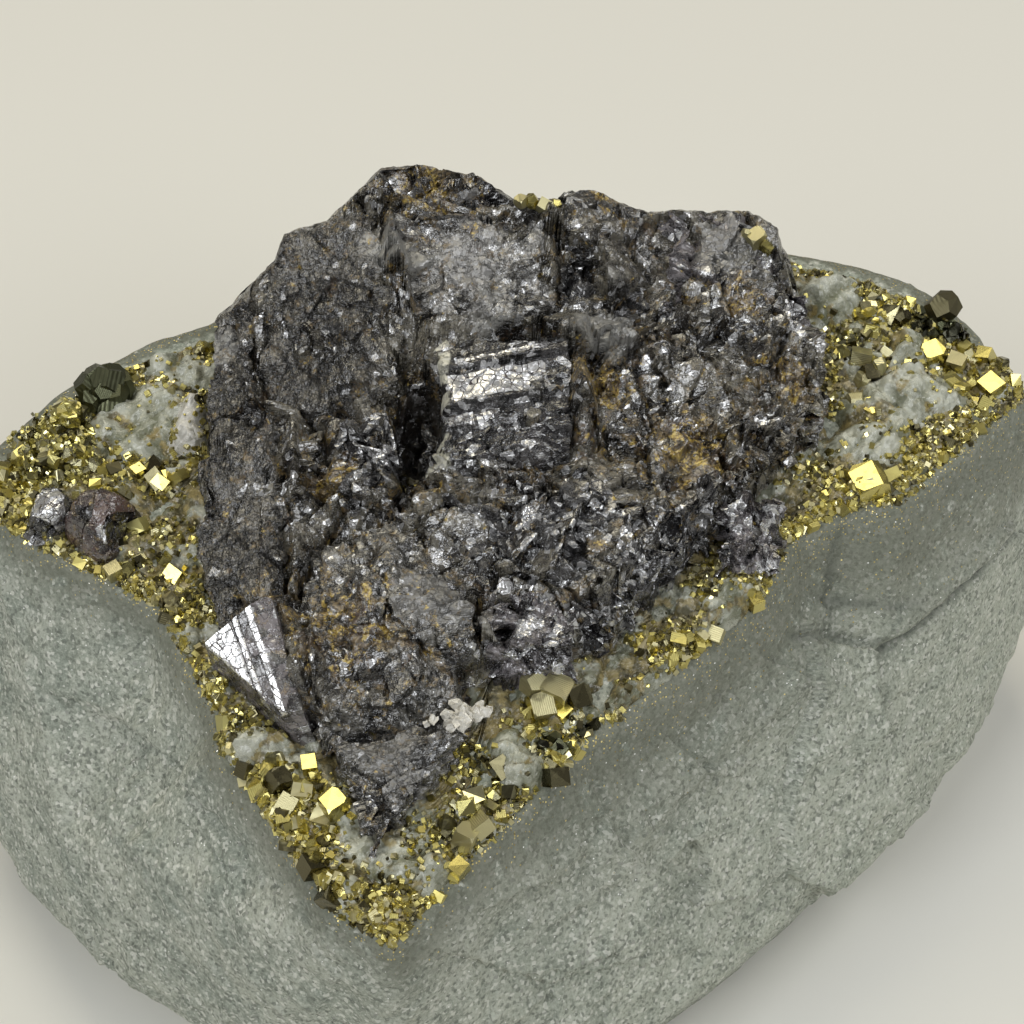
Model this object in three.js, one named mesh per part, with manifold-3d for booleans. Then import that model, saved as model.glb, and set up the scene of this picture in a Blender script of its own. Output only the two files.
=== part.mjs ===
// A cabinet specimen of sphalerite: a chunk of grey-green host rock whose top is a vein face
// covered by dark sphalerite crystals, brassy pyrite and milky quartz.
// Millimetres, +Z up. The origin is the middle of the stone's footprint, on the surface it stands on.
import * as THREE from "three";
import { ConvexGeometry } from "three/addons/geometries/ConvexGeometry.js";
import { mergeVertices } from "three/addons/utils/BufferGeometryUtils.js";
import Module from "manifold-3d";

const wasm = await Module();
wasm.setup();

// ---- driving dimensions -------------------------------------------------------------------

const BED_HEIGHT = 37.1; // height of the vein face above the origin
const BED_TILT = Math.atan(0.1); // the vein face rises towards the back
const CONTACT_GAP = 0.3; // left between any two pieces that touch
const BELLY_HEIGHT = 9; // level where the stone is widest
const SHOULDER_DROP = 2.6; // the rim of the vein face is worn off by this much
const SHOULDER_OUT = 1.05; // and the stone is this much wider there
const FOOT_SHARE = 0.84; // width of the foot against the belly
const BARE_RIM = 0.8; // strip of bare rock left between the rim and the small growths
const TOP_VARIATION = 0.35; // share by which the top corners of a small growth vary in height

// Outline of the vein face, convex and counter-clockwise from the front tip, in the plane of the face.
const RIM = [
  [-7.6, -32], [38, 9.8], [41, 14], [39, 18], [34, 26], [27, 29], [12, 31.5], [-6, 31.5],
  [-17, 28], [-25, 23], [-33, 17.5], [-38.5, 12], [-41.5, 4.5], [-20, -21.8], [-13, -29.6],
];

// Outline of the stone at its belly, counter-clockwise from the front corner.
const BELLY = [
  [-5, -34.5], [4, -31], [12.5, -25], [27, -13.5], [40, 2], [47.8, 18], [45, 27], [28, 34.5],
  [-10, 34.5], [-32, 28], [-45, 15], [-47.8, 0], [-40, -13], [-31, -21], [-20, -29],
];

// Sphalerite crystals: the outline each one stands on, convex and counter-clockwise, and the
// corners [x, y, height] of its top.
const SPHALERITE = {
  back_left_block: {
    foot: [[-19, 7.8], [-7.1, 7.8], [-9.9, 24.5], [-15, 24.5], [-19, 22]],
    top: [[-18.2, 21.3, 9.5], [-14.2, 23.7, 9.5], [-10.4, 23.6, 10], [-18, 9, 3.2], [-9, 9, 5.5]],
  },
  grey_plate: {
    foot: [[-7.9, 15], [2.8, 15], [2.3, 24.3], [-9.5, 24.3]],
    top: [[-9, 23.5, 9.6], [1.5, 23.5, 8.5], [-7.6, 15.6, 6.6], [2.1, 15.6, 6]],
  },
  summit: {
    foot: [[-15, 25], [-9.6, 24.8], [2.2, 24.7], [2.2, 27.2], [-1, 29.8], [-8, 30], [-12.5, 28.4]],
    top: [[-9.5, 28.4, 10.4], [-12.8, 26.3, 9], [-2.5, 27.9, 9.4], [1.2, 25.6, 8], [-9.5, 25.3, 9.6]],
  },
  upper_ledge: {
    foot: [[-7.5, 12.6], [4.2, 12.7], [2.6, 14.6], [-7.9, 14.6]],
    top: [[-7.4, 14.2, 6.5], [2, 14.2, 6.2], [3.6, 13, 5.5], [-7, 13, 5.6]],
  },
  centre_crystal: {
    foot: [[-6.2, 0.6], [4.9, 3.2], [4.1, 12.3], [-5.4, 12.2], [-6.6, 9]],
    top: [[-5.8, 9, 8.2], [-4.6, 11.5, 9], [3.5, 11.6, 8.3], [-5.4, 2.4, 7.2], [3.9, 3.7, 6.4]],
  },
  back_ridge: {
    foot: [[3.2, 15.6], [10.9, 16.1], [10.6, 27.8], [5, 28.2], [2.8, 24.5]],
    top: [[4.5, 26.8, 8], [9.6, 26.6, 7.5], [3.7, 16.5, 6], [10.2, 17, 5], [4.6, 22, 7.6]],
  },
  back_right_plate: {
    foot: [[11.4, 16.4], [24.4, 17.2], [22.8, 22.5], [18.5, 27.8], [11.1, 27.8]],
    top: [[12, 26.7, 6.8], [18, 26.7, 6.5], [21.9, 22.2, 5.4], [12, 17.5, 5], [22.8, 18, 4.2]],
  },
  right_upper_block: {
    foot: [[6.3, 7.8], [14.4, 9], [14.4, 16.1], [3.7, 15.1]],
    top: [[4.8, 14.5, 6], [13.8, 15.5, 5.5], [7, 8.7, 6], [13.7, 9.7, 5], [10, 12, 6.8]],
  },
  right_block: {
    foot: [[14.8, 9.1], [24.3, 7.2], [25, 16.8], [14.8, 16.1]],
    top: [[15.5, 15.4, 5.5], [23, 16, 5], [24.2, 15.6, 4.4], [15.5, 9.9, 5.2], [23.4, 8.4, 4.4],
      [19.5, 13, 6]],
  },
  right_ledge: {
    foot: [[8.4, 0.2], [22.5, 2.6], [24, 6.7], [14.6, 8.6], [5, 7.1], [5.5, 3.2]],
    top: [[7, 6.6, 5.5], [14.5, 7.8, 5], [22.8, 6, 4], [21.5, 3.2, 3.2], [14.5, 2.3, 3.6], [9, 1.2, 4.8]],
  },
  centre_ledge: {
    foot: [[-6.1, 0.2], [-4.8, -4.4], [-2, -7.5], [3.5, -7.5], [8, -0.3], [5.2, 2.9]],
    top: [[-4.8, -0.9, 5], [0.5, -0.5, 6], [4.9, 1.8, 6], [7, -0.6, 5.2], [3.6, -6.1, 4.2], [-1.8, -6.7, 4]],
  },
  front_right_block: {
    foot: [[4.1, -7.6], [4.6, -12.6], [7.5, -12.6], [11.8, -9.5], [14.8, -3.6], [14.2, 0.8], [8.4, -0.4]],
    top: [[8.9, -1.2, 5], [13.6, 0, 4.2], [14, -3.8, 3.4], [11, -8.9, 3], [5.4, -11.8, 3], [4.9, -8.2, 4.2]],
  },
  striated_crystal: {
    foot: [[-1.6, -11.6], [1.6, -13], [4.1, -11.8], [3.6, -7.9], [-1.4, -8]],
    top: [[-0.9, -8.7, 4.6], [3, -8.6, 4.7], [3.4, -11.4, 4], [-1.1, -11.2, 4]],
  },
  violet_plate: {
    foot: [[14.8, 0.9], [15.3, -3.3], [18.7, -3.2], [19.4, 1.6]],
    top: [[15.3, 0.4, 3], [15.8, -2.6, 2.4], [18.2, -2.4, 2.2], [18.9, 1, 2.8]],
  },
  front_dome: {
    foot: [[-15.3, -9.4], [-13.2, -17.2], [-3, -15.6], [-2.1, -12], [-2.1, -8], [-8.4, -0.7], [-14.3, -2.7]],
    top: [[-13.5, -9, 4.5], [-13, -4, 3.8], [-8.8, -2, 4.5], [-6, -6.5, 5.2], [-3.2, -9, 5],
      [-3.3, -13.4, 4], [-6, -15, 3.6], [-12, -16, 3], [-9, -10, 6.5]],
  },
  front_tongue: {
    foot: [[-13.1, -17.6], [-11, -23.4], [-8.6, -25.4], [-5.6, -24], [-2.6, -19], [-2.9, -16]],
    top: [[-11.6, -19, 2.6], [-6.8, -19.5, 3.2], [-3.6, -17.6, 2.8], [-6.2, -23, 1.8], [-9.8, -22.6, 1.8]],
  },
  black_crystal: {
    foot: [[-11.8, -0.8], [-9.5, -0.4], [-8.7, 1.2], [-8.4, 7.4], [-12.6, 7.2]],
    top: [[-12, 6.5, 5.2], [-9.2, 6.6, 6], [-9.3, 2.1, 5], [-10.7, 0.4, 4], [-11.7, 1, 4.2]],
  },
  hollow_block: {
    foot: [[-16.2, 7.3], [-15.3, -1.9], [-14.3, -2.2], [-12.2, -0.6], [-13, 7.3]],
    top: [[-15.6, 6.6, 4], [-13.6, 6.5, 3], [-13.2, 2.4, 2.4], [-12.6, 0, 3], [-14.6, -1.3, 3.6]],
  },
  left_flank: {
    foot: [[-23.8, -8.2], [-20, -8.8], [-16, -8.9], [-15.7, -2.2], [-16.6, 7.4], [-23, 7.4], [-24.4, 0]],
    top: [[-22.3, -7.3, 2.6], [-23, 0, 3.4], [-21.8, 6.6, 4.6], [-17.1, 6.6, 4.8], [-16.4, -2, 4.4],
      [-16.7, -8, 3.6]],
  },
  left_block: {
    foot: [[-22.8, 7.8], [-19.3, 7.8], [-19.3, 22.3], [-24, 18.6]],
    top: [[-22.1, 18.2, 5.4], [-19.7, 21, 6.3], [-19.7, 8.6, 4.6], [-21.9, 8.5, 3.6]],
  },
  twin_crystal: {
    foot: [[-22.6, -11.2], [-17.6, -15.9], [-14.3, -16], [-15.6, -10.6], [-16.4, -9.2], [-20.2, -9.1]],
    top: [[-21.2, -11, 4.2], [-19, -9.7, 5.2], [-16.8, -9.9, 5], [-15.2, -15.2, 3.4], [-17.4, -15.1, 3.6]],
  },
};

// Smaller growths round the big crystals: [x, y, half length, half width, turn in degrees, height].
const SMALL_GROWTHS = {
  sphalerite_round_crystal: [-29.4, 0.2, 3.1, 2.6, 0, 3.2],
  sphalerite_tip_crystal: [-33.6, 1.6, 1.9, 1.7, 20, 2.6],
  pyrite_dark_ball: [-31, 14.4, 3.9, 3.4, 30, 3.2],
  pyrite_bubbly_cluster: [-34.6, 8.4, 4.6, 4.2, 0, 3],
  pyrite_left_tip: [-38, 3.2, 3.9, 3.2, 0, 2],
  pyrite_cube_row: [-28, 5.2, 4.1, 2.2, 0, 2.2],
  pyrite_left_band: [-32, -3.2, 6.2, 2.2, -42, 2],
  pyrite_left_inner: [-26.6, -1, 3.1, 2.4, 0, 2],
  pyrite_gold_crust: [-26, -5.8, 3.1, 2.7, -40, 1.9],
  pyrite_front_left_blocks: [-20.2, -16.2, 3.5, 2.3, -50, 2],
  pyrite_front_left_cubes: [-16.8, -20.4, 3.6, 2.6, -50, 2.2],
  pyrite_gold_cube: [-12.4, -20.9, 2.2, 1.9, 20, 2.2],
  pyrite_tip_left: [-13, -26.4, 3.8, 2.6, -55, 2.2],
  pyrite_tip_crust: [-8.2, -29, 3.5, 2, 0, 1.4],
  pyrite_striated_fan: [-1.9, -22.4, 4.9, 2.6, 43, 2.3],
  pyrite_dark_crystals: [3.6, -17.4, 3.1, 2.2, 45, 2.3],
  pyrite_bright_front: [2.5, -14.5, 2.7, 1.8, 0, 2.8],
  pyrite_edge_grains: [18.6, -5, 8, 1.7, 45, 1.4],
  pyrite_bright_right: [26.4, 4.4, 2.3, 2.2, 30, 2.6],
  pyrite_right_top: [29.4, 22, 3.8, 2.6, -20, 2.2],
  pyrite_corner_crystal: [33.6, 20.2, 2.7, 2.6, 10, 3.4],
  pyrite_right_inner: [27.6, 18.4, 3.6, 3, 0, 2.2],
  pyrite_right_cubes: [34.4, 15.6, 3.8, 3.2, 0, 2.4],
  pyrite_right_tip: [37.2, 12.4, 2.6, 2.2, 60, 2.4],
  pyrite_right_crust: [33, 8.4, 6, 1.9, 40, 1.4],
  quartz_left_patch: [-27.4, 10.4, 4.9, 5.1, 0, 1.6],
  quartz_left_back: [-26.2, 17, 3.5, 3.5, 0, 1.5],
  quartz_white_vein: [-24.1, 9.8, 0.9, 3.4, -4, 2.2],
  quartz_front_left: [-17.4, -17.6, 2.3, 1.2, 5, 1.6],
  quartz_tip_right: [-6.2, -26.2, 2.2, 2, 0, 1.6],
  quartz_front_pocket: [0.7, -18.8, 2.6, 1.5, 0, 1.5],
  quartz_front_right: [9.8, -12.9, 3, 2.2, 30, 1.6],
  quartz_right_hollow: [15.8, -5.8, 3.8, 2.7, 50, 1.5],
  quartz_back_right: [24.6, 22.6, 3, 2.6, 0, 2],
  quartz_right_upper: [30.6, 18.2, 3, 1.9, 0, 1.8],
  quartz_right_floor: [27, 10.6, 2.6, 4, 0, 1.4],
  quartz_right_lower: [31.5, 13, 3.4, 3.4, 0, 1.9],
};

// ---- minerals -----------------------------------------------------------------------------

const MINERALS = {
  host: new THREE.MeshStandardMaterial({ color: 0x7f887f, roughness: 0.9, metalness: 0 }),
  sphalerite: new THREE.MeshStandardMaterial({ color: 0x2c2a2b, roughness: 0.3, metalness: 0.4 }),
  pyrite: new THREE.MeshStandardMaterial({ color: 0xb39a4e, roughness: 0.25, metalness: 1 }),
  quartz: new THREE.MeshStandardMaterial({ color: 0xb9c0b8, roughness: 0.4, metalness: 0 }),
};

// ---- small tools --------------------------------------------------------------------------

// Repeatable random numbers from 0 to 1: a linear congruential generator.
function randomFrom(seed) {
  let state = seed;
  return () => {
    state = (state * 1664525 + 1013904223) % 4294967296;
    return state / 4294967296;
  };
}

// A closed three.js geometry as a manifold-3d solid.
function solidOf(geometry) {
  const bare = geometry.index ? geometry.toNonIndexed() : geometry.clone();
  bare.deleteAttribute("normal");
  bare.deleteAttribute("uv");
  const merged = mergeVertices(bare, 1e-4);
  return new wasm.Manifold(new wasm.Mesh({
    numProp: 3,
    vertProperties: new Float32Array(merged.attributes.position.array),
    triVerts: new Uint32Array(merged.index.array),
  }));
}

// A manifold-3d solid as a three.js geometry.
function geometryOf(solid) {
  const mesh = solid.getMesh();
  const geometry = new THREE.BufferGeometry();
  geometry.setAttribute("position", new THREE.BufferAttribute(mesh.vertProperties, 3));
  geometry.setIndex(new THREE.BufferAttribute(mesh.triVerts, 1));
  return geometry;
}

// The convex body through a list of THREE.Vector3 corners.
function convex(corners) {
  return new ConvexGeometry(corners);
}

// Points [x, y] of an ellipse with flat sides, turned by some degrees.
function ellipseOutline([x, y, halfLength, halfWidth, turn], sides = 9) {
  const curve = new THREE.EllipseCurve(
    x, y, halfLength, halfWidth, 0, 2 * Math.PI, false, THREE.MathUtils.degToRad(turn));
  return curve.getPoints(sides).slice(0, sides).map((p) => [p.x, p.y]);
}

function middleOf(outline) {
  const sum = outline.reduce(([a, b], [x, y]) => [a + x, b + y], [0, 0]);
  return sum.map((value) => value / outline.length);
}

// The part of a convex outline on the near side of a line: points with n.p <= reach.
function clipOutline(outline, [nx, ny], reach) {
  const kept = [];
  outline.forEach(([ax, ay], i) => {
    const [bx, by] = outline[(i + 1) % outline.length];
    const a = nx * ax + ny * ay - reach;
    const b = nx * bx + ny * by - reach;
    if (a <= 0) kept.push([ax, ay]);
    if (a * b < 0) kept.push([ax + ((bx - ax) * a) / (a - b), ay + ((by - ay) * a) / (a - b)]);
  });
  return kept;
}

// The outward normal [x, y] of each edge of a counter-clockwise outline, with the edge's reach.
function edgesOf(outline) {
  return outline.map(([ax, ay], i) => {
    const [bx, by] = outline[(i + 1) % outline.length];
    const length = Math.hypot(bx - ax, by - ay);
    const normal = [(by - ay) / length, (ax - bx) / length];
    return { normal, reach: normal[0] * ax + normal[1] * ay };
  });
}

// Trims an outline so that it stays a gap away from a convex neighbour, along the neighbour's
// edge that faces the outline most.
function clearOf(outline, neighbour) {
  const [cx, cy] = middleOf(outline);
  const distance = ({ normal, reach }) => normal[0] * cx + normal[1] * cy - reach;
  const facing = edgesOf(neighbour).reduce((a, b) => (distance(b) > distance(a) ? b : a));
  const [nx, ny] = facing.normal;
  return clipOutline(outline, [-nx, -ny], -facing.reach - CONTACT_GAP);
}

// ---- pieces -------------------------------------------------------------------------------

// The height of the vein face over a point of the stone's plan.
function bedLevel(y) {
  return BED_HEIGHT + Math.tan(BED_TILT) * y;
}

// The host rock: one convex chunk through its rim, shoulder, belly and foot.
function hostRock() {
  const rim = RIM.map(([x, y]) => new THREE.Vector3(x, y, bedLevel(y)));
  const shoulder = RIM.map(([x, y]) =>
    new THREE.Vector3(x * SHOULDER_OUT, y * SHOULDER_OUT, bedLevel(y) - SHOULDER_DROP));
  const belly = BELLY.map(([x, y]) => new THREE.Vector3(x, y, BELLY_HEIGHT));
  const foot = BELLY.map(([x, y]) => new THREE.Vector3(x * FOOT_SHARE, y * FOOT_SHARE, 0));
  return convex([...rim, ...shoulder, ...belly, ...foot]);
}

// A sphalerite crystal: the convex body between its foot and its top corners.
function sphaleriteCrystal({ foot, top }) {
  return convex([
    ...foot.map(([x, y]) => new THREE.Vector3(x, y, CONTACT_GAP)),
    ...top.map(([x, y, z]) => new THREE.Vector3(x, y, z)),
  ]);
}

// A low lump on an outline: its rim stands straight up to a third, then it draws in to an uneven top.
function lump(outline, height, random) {
  const [cx, cy] = middleOf(outline);
  const corners = outline.flatMap(([x, y]) => {
    const level = height * (1 - TOP_VARIATION * random());
    const draw = 0.55 + 0.25 * random();
    return [
      new THREE.Vector3(x, y, CONTACT_GAP),
      new THREE.Vector3(x, y, Math.max(height / 3, 0.6)),
      new THREE.Vector3(cx + (x - cx) * draw, cy + (y - cy) * draw, level),
    ];
  });
  return convex(corners);
}

// One pyrite crystal, a cube or a pyritohedron, turned at random and rooted in the crust below it.
function pyriteCrystal(x, y, z, size, random) {
  const form = random() < 0.5
    ? new THREE.BoxGeometry(size, size, size)
    : new THREE.DodecahedronGeometry(size * 0.68);
  form.rotateX(random() * Math.PI).rotateY(random() * Math.PI).rotateZ(random() * Math.PI);
  form.translate(x, y, z);
  const position = form.attributes.position;
  const corners = [];
  for (let i = 0; i < position.count; i += 1) {
    const corner = new THREE.Vector3().fromBufferAttribute(position, i);
    corners.push(corner, new THREE.Vector3(corner.x, corner.y, CONTACT_GAP));
  }
  return convex(corners);
}

// Pyrite: a crust on the outline with crystals standing out of it, all one solid within the outline.
function pyriteCluster(outline, height, random) {
  const [cx, cy] = middleOf(outline);
  const fence = new THREE.Shape(outline.map(([x, y]) => new THREE.Vector2(x, y)));
  const room = new THREE.ExtrudeGeometry(fence, { depth: 2 * height, bevelEnabled: false });
  let cluster = solidOf(lump(outline, height * 0.6, random));
  outline.filter((_, i) => i % 2 === 0).forEach(([x, y]) => {
    const size = height * (0.6 + 0.2 * random());
    const crystal = pyriteCrystal(cx + (x - cx) * 0.55, cy + (y - cy) * 0.55, height * 0.55, size, random);
    cluster = cluster.add(solidOf(crystal));
  });
  return geometryOf(cluster.intersect(solidOf(room)));
}

// ---- assembly -----------------------------------------------------------------------------

const specimen = new THREE.Group();

const host = new THREE.Mesh(hostRock(), MINERALS.host);
host.name = "host_rock";
specimen.add(host);

const bed = new THREE.Group();
bed.position.set(0, 0, BED_HEIGHT);
bed.rotation.x = BED_TILT;
specimen.add(bed);

for (const [name, crystal] of Object.entries(SPHALERITE)) {
  const mesh = new THREE.Mesh(sphaleriteCrystal(crystal), MINERALS.sphalerite);
  mesh.name = `sphalerite_${name}`;
  bed.add(mesh);
}

// Each small growth keeps clear of the big crystals, and shares the room with its small neighbours
// along a line between the two middles.
const bigFeet = Object.values(SPHALERITE).map(({ foot }) => foot);
const small = Object.entries(SMALL_GROWTHS);
small.forEach(([name, size], index) => {
  const [x, y, halfLength, halfWidth, , height] = size;
  let outline = ellipseOutline(size);
  small.forEach(([, [ox, oy, otherLength, otherWidth]], other) => {
    const apart = Math.hypot(ox - x, oy - y);
    if (other === index || apart > halfLength + halfWidth + otherLength + otherWidth) return;
    const normal = [(ox - x) / apart, (oy - y) / apart];
    const share = (halfLength + halfWidth) / (halfLength + halfWidth + otherLength + otherWidth);
    const reach = normal[0] * x + normal[1] * y + apart * share - CONTACT_GAP / 2;
    outline = clipOutline(outline, normal, reach);
  });
  bigFeet.forEach((foot) => {
    outline = clearOf(outline, foot);
  });
  edgesOf(RIM).forEach(({ normal, reach }) => {
    outline = clipOutline(outline, normal, reach - BARE_RIM);
  });
  const mineral = name.split("_")[0];
  const random = randomFrom(index + 1);
  const geometry = mineral === "pyrite"
    ? pyriteCluster(outline, height, random)
    : lump(outline, height, random);
  const mesh = new THREE.Mesh(geometry, MINERALS[mineral]);
  mesh.name = name;
  bed.add(mesh);
});

export default specimen;
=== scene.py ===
# %% [markdown]
# # A sphalerite specimen
# A chunk of grey-green host rock whose top is one broken vein face. Dark sphalerite fills the
# middle of the face, and brassy pyrite and milky quartz fill its corners and line its edges.
# Each step below builds one mineral as numpy surfaces, in millimetres, and turns it to metres
# only when the mesh is made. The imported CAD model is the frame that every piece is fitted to.

# %% Load the frame
import itertools
import math
import bpy
import numpy as np
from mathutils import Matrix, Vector


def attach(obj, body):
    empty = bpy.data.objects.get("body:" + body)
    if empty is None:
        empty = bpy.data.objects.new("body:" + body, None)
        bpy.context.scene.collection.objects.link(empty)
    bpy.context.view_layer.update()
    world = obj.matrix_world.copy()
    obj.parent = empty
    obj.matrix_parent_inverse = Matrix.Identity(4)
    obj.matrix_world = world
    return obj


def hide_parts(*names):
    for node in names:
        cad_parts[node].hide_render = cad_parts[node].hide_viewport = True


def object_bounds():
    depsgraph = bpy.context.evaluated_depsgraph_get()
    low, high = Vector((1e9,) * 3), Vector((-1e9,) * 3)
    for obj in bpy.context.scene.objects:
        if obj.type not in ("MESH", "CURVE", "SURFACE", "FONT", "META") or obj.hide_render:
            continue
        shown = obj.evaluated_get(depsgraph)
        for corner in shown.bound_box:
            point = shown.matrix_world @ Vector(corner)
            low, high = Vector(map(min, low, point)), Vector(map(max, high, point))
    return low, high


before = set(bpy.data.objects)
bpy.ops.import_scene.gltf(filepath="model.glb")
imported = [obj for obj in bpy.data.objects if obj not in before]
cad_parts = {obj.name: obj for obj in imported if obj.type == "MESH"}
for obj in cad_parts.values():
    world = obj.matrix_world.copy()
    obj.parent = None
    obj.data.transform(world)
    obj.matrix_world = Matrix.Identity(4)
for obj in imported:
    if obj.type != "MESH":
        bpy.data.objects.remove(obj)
cad_low, cad_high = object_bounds()
MM = 0.001  # one millimetre in Blender's metres
print("frame:", len(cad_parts), "nodes, size in mm", [round(v / MM, 1) for v in cad_high - cad_low])

# %% [markdown]
# ## Camera
# The specimen is seen from the front and well above, close up, so that the vein face fills the
# view and the rock below it runs out of the picture. The camera looks at a point a little
# behind and above the middle of the stone.

# %% Set the camera
CAMERA_ELEVATION = math.radians(48)
CAMERA_DISTANCE = 0.150
middle = (cad_low + cad_high) / 2
aim = Vector((middle.x, middle.y + 0.009, 0.030))
back = Vector((0, -math.cos(CAMERA_ELEVATION), math.sin(CAMERA_ELEVATION)))
camera = bpy.data.objects.new("camera", bpy.data.cameras.new("camera"))
camera.data.lens = 67.5
camera.data.sensor_width = 36
camera.data.clip_start = 0.01
camera.location = aim + back * CAMERA_DISTANCE
camera.rotation_euler = (-back).to_track_quat("-Z", "Y").to_euler()
bpy.context.scene.collection.objects.link(camera)
bpy.context.scene.camera = camera
print("camera at", [round(c, 3) for c in camera.location])

# %% [markdown]
# ## Materials as expressions
# A mineral's finish is arithmetic on patterns: noise times colour, cells that tilt the surface.
# Writing that sum as Python keeps it readable, so a small class wraps a node's socket and turns
# + - * / into Math nodes. Any other node comes from one method, `node`.

# %% Wrap sockets and build nodes
class Socket:
    """A node's output that can be added, multiplied and compared like a number."""

    def __init__(self, finish, socket):
        self.finish, self.socket = finish, socket

    def of(self, name):
        """Another output of the same node."""
        return Socket(self.finish, self.socket.node.outputs[name])

    def math(self, operation, *others, flip=False):
        terms = [self, *others]
        if flip:
            terms.reverse()
        return self.finish.node("ShaderNodeMath", {"operation": operation}, dict(enumerate(terms)))

    def __add__(self, other): return self.math("ADD", other)
    __radd__ = __add__
    def __mul__(self, other): return self.math("MULTIPLY", other)
    __rmul__ = __mul__
    def __sub__(self, other): return self.math("SUBTRACT", other)
    def __rsub__(self, other): return self.math("SUBTRACT", other, flip=True)
    def __truediv__(self, other): return self.math("DIVIDE", other)
    def __rtruediv__(self, other): return self.math("DIVIDE", other, flip=True)
    def __pow__(self, other): return self.math("POWER", other)
    def __gt__(self, other): return self.math("GREATER_THAN", other)

    def span(self, low, high, to_low=0.0, to_high=1.0, kind="SMOOTHSTEP"):
        """Maps low..high to to_low..to_high and stays flat outside."""
        values = {"Value": self, "From Min": low, "From Max": high, "To Min": to_low, "To Max": to_high}
        return self.finish.node("ShaderNodeMapRange", {"interpolation_type": kind}, values)


class Finish:
    """One material while its nodes are laid out."""

    def __init__(self, name):
        self.material = bpy.data.materials.new(name)
        self.material.use_nodes = True
        self.tree = self.material.node_tree
        self.tree.nodes.clear()
        self.place = self.node("ShaderNodeTexCoord").of("Object")

    def node(self, kind, settings=None, values=None, output=0):
        """Adds a node: its settings first, then a value or a link for each named socket."""
        made = self.tree.nodes.new(kind)
        for key, value in (settings or {}).items():
            if key == "stops":
                ramp = made.color_ramp
                while len(ramp.elements) < len(value):
                    ramp.elements.new(0.5)
                for element, (place, colour) in zip(ramp.elements, value):
                    element.position, element.color = place, (*colour, 1.0)
            else:
                setattr(made, key, value)
        for key, value in (values or {}).items():
            if isinstance(value, Socket):
                self.tree.links.new(value.socket, made.inputs[key])
            else:
                made.inputs[key].default_value = value
        return Socket(self, made.outputs[output])

    def noise(self, size_mm, detail=4.0, roughness=0.6, at=None, distortion=0.0):
        """Noise whose lumps are about size_mm across, from 0 to 1."""
        values = {"Vector": at or self.place, "Scale": 1 / (size_mm * MM), "Detail": detail,
                  "Roughness": roughness, "Distortion": distortion}
        return self.node("ShaderNodeTexNoise", None, values)

    def cells(self, size_mm, feature="F1", at=None, randomness=1.0):
        """Voronoi cells about size_mm across; Color is random in each cell."""
        values = {"Vector": at or self.place, "Scale": 1 / (size_mm * MM), "Randomness": randomness}
        return self.node("ShaderNodeTexVoronoi", {"feature": feature}, values)

    def stretched(self, turn, scale):
        """Object coordinates in axes turned by degrees, each divided by its stretch, for streaks."""
        values = {"Vector": self.place, "Rotation": [math.radians(a) for a in turn], "Scale": scale}
        return self.node("ShaderNodeMapping", {"vector_type": "TEXTURE"}, values)

    def mix(self, factor, a, b, blend="MIX"):
        """Mixes two colours."""
        made = self.tree.nodes.new("ShaderNodeMix")
        made.data_type, made.blend_type = "RGBA", blend
        for socket, value in ((made.inputs[0], factor), (made.inputs[6], a), (made.inputs[7], b)):
            if isinstance(value, Socket):
                self.tree.links.new(value.socket, socket)
            else:
                socket.default_value = (*value, 1.0) if isinstance(value, tuple) else value
        return Socket(self, made.outputs[2])

    def bump(self, height, depth_mm, strength=1.0, normal=None):
        """A surface normal from a height of 0 to 1."""
        values = {"Height": height, "Distance": depth_mm * MM, "Strength": strength}
        if normal is not None:
            values["Normal"] = normal
        return self.node("ShaderNodeBump", None, values)

    def glints(self, size_mm, tilt, at=None):
        """A normal that leans a random way in every cell, by about tilt."""
        colour = self.cells(size_mm, at=at).of("Color")
        lean = self.node("ShaderNodeVectorMath", {"operation": "SUBTRACT"},
                         {0: colour, 1: (0.5, 0.5, 0.5)})
        lean = self.node("ShaderNodeVectorMath", {"operation": "SCALE"}, {0: lean, "Scale": 2 * tilt})
        facing = self.node("ShaderNodeNewGeometry").of("Normal")
        both = self.node("ShaderNodeVectorMath", {"operation": "ADD"}, {0: facing, 1: lean})
        return self.node("ShaderNodeVectorMath", {"operation": "NORMALIZE"}, {0: both})

    def shade(self, **values):
        """Ends the material in a Principled shader with these sockets, and returns it."""
        named = {key.replace("_", " "): value for key, value in values.items()}
        shader = self.node("ShaderNodeBsdfPrincipled", None, named)
        output = self.tree.nodes.new("ShaderNodeOutputMaterial")
        self.tree.links.new(shader.socket, output.inputs["Surface"])
        return self.material

# %% [markdown]
# ## Random patterns in numpy
# Broken stone and cleaved crystal need randomness that is the same on every run. Each lattice
# cell gets numbers scrambled from its own coordinates. Blending the numbers of a cell's eight
# corners gives smooth noise; jittering one point in each cell gives shards, flat chips that
# meet at sharp steps.

# %% Noise and shards
def scramble(cells, seed):
    """Whole-number cells (..., 3) to three numbers from 0 to 1: the coordinates are multiplied by
    large primes, joined by exclusive or, and the bits are stirred twice for each number."""
    c = cells.astype(np.int64).astype(np.uint32)
    code = c[..., 0] * np.uint32(73856093) ^ c[..., 1] * np.uint32(19349663)
    code = code ^ c[..., 2] * np.uint32(83492791) ^ np.uint32(seed * 2654435 % 2**32)
    numbers = []
    for stir in (2246822519, 3266489917, 668265263):
        code = (code ^ (code >> np.uint32(15))) * np.uint32(stir)
        code = (code ^ (code >> np.uint32(13))) * np.uint32(1274126177)
        numbers.append((code >> np.uint32(8)) / 2.0**24)
    return np.stack(numbers, axis=-1)


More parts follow.
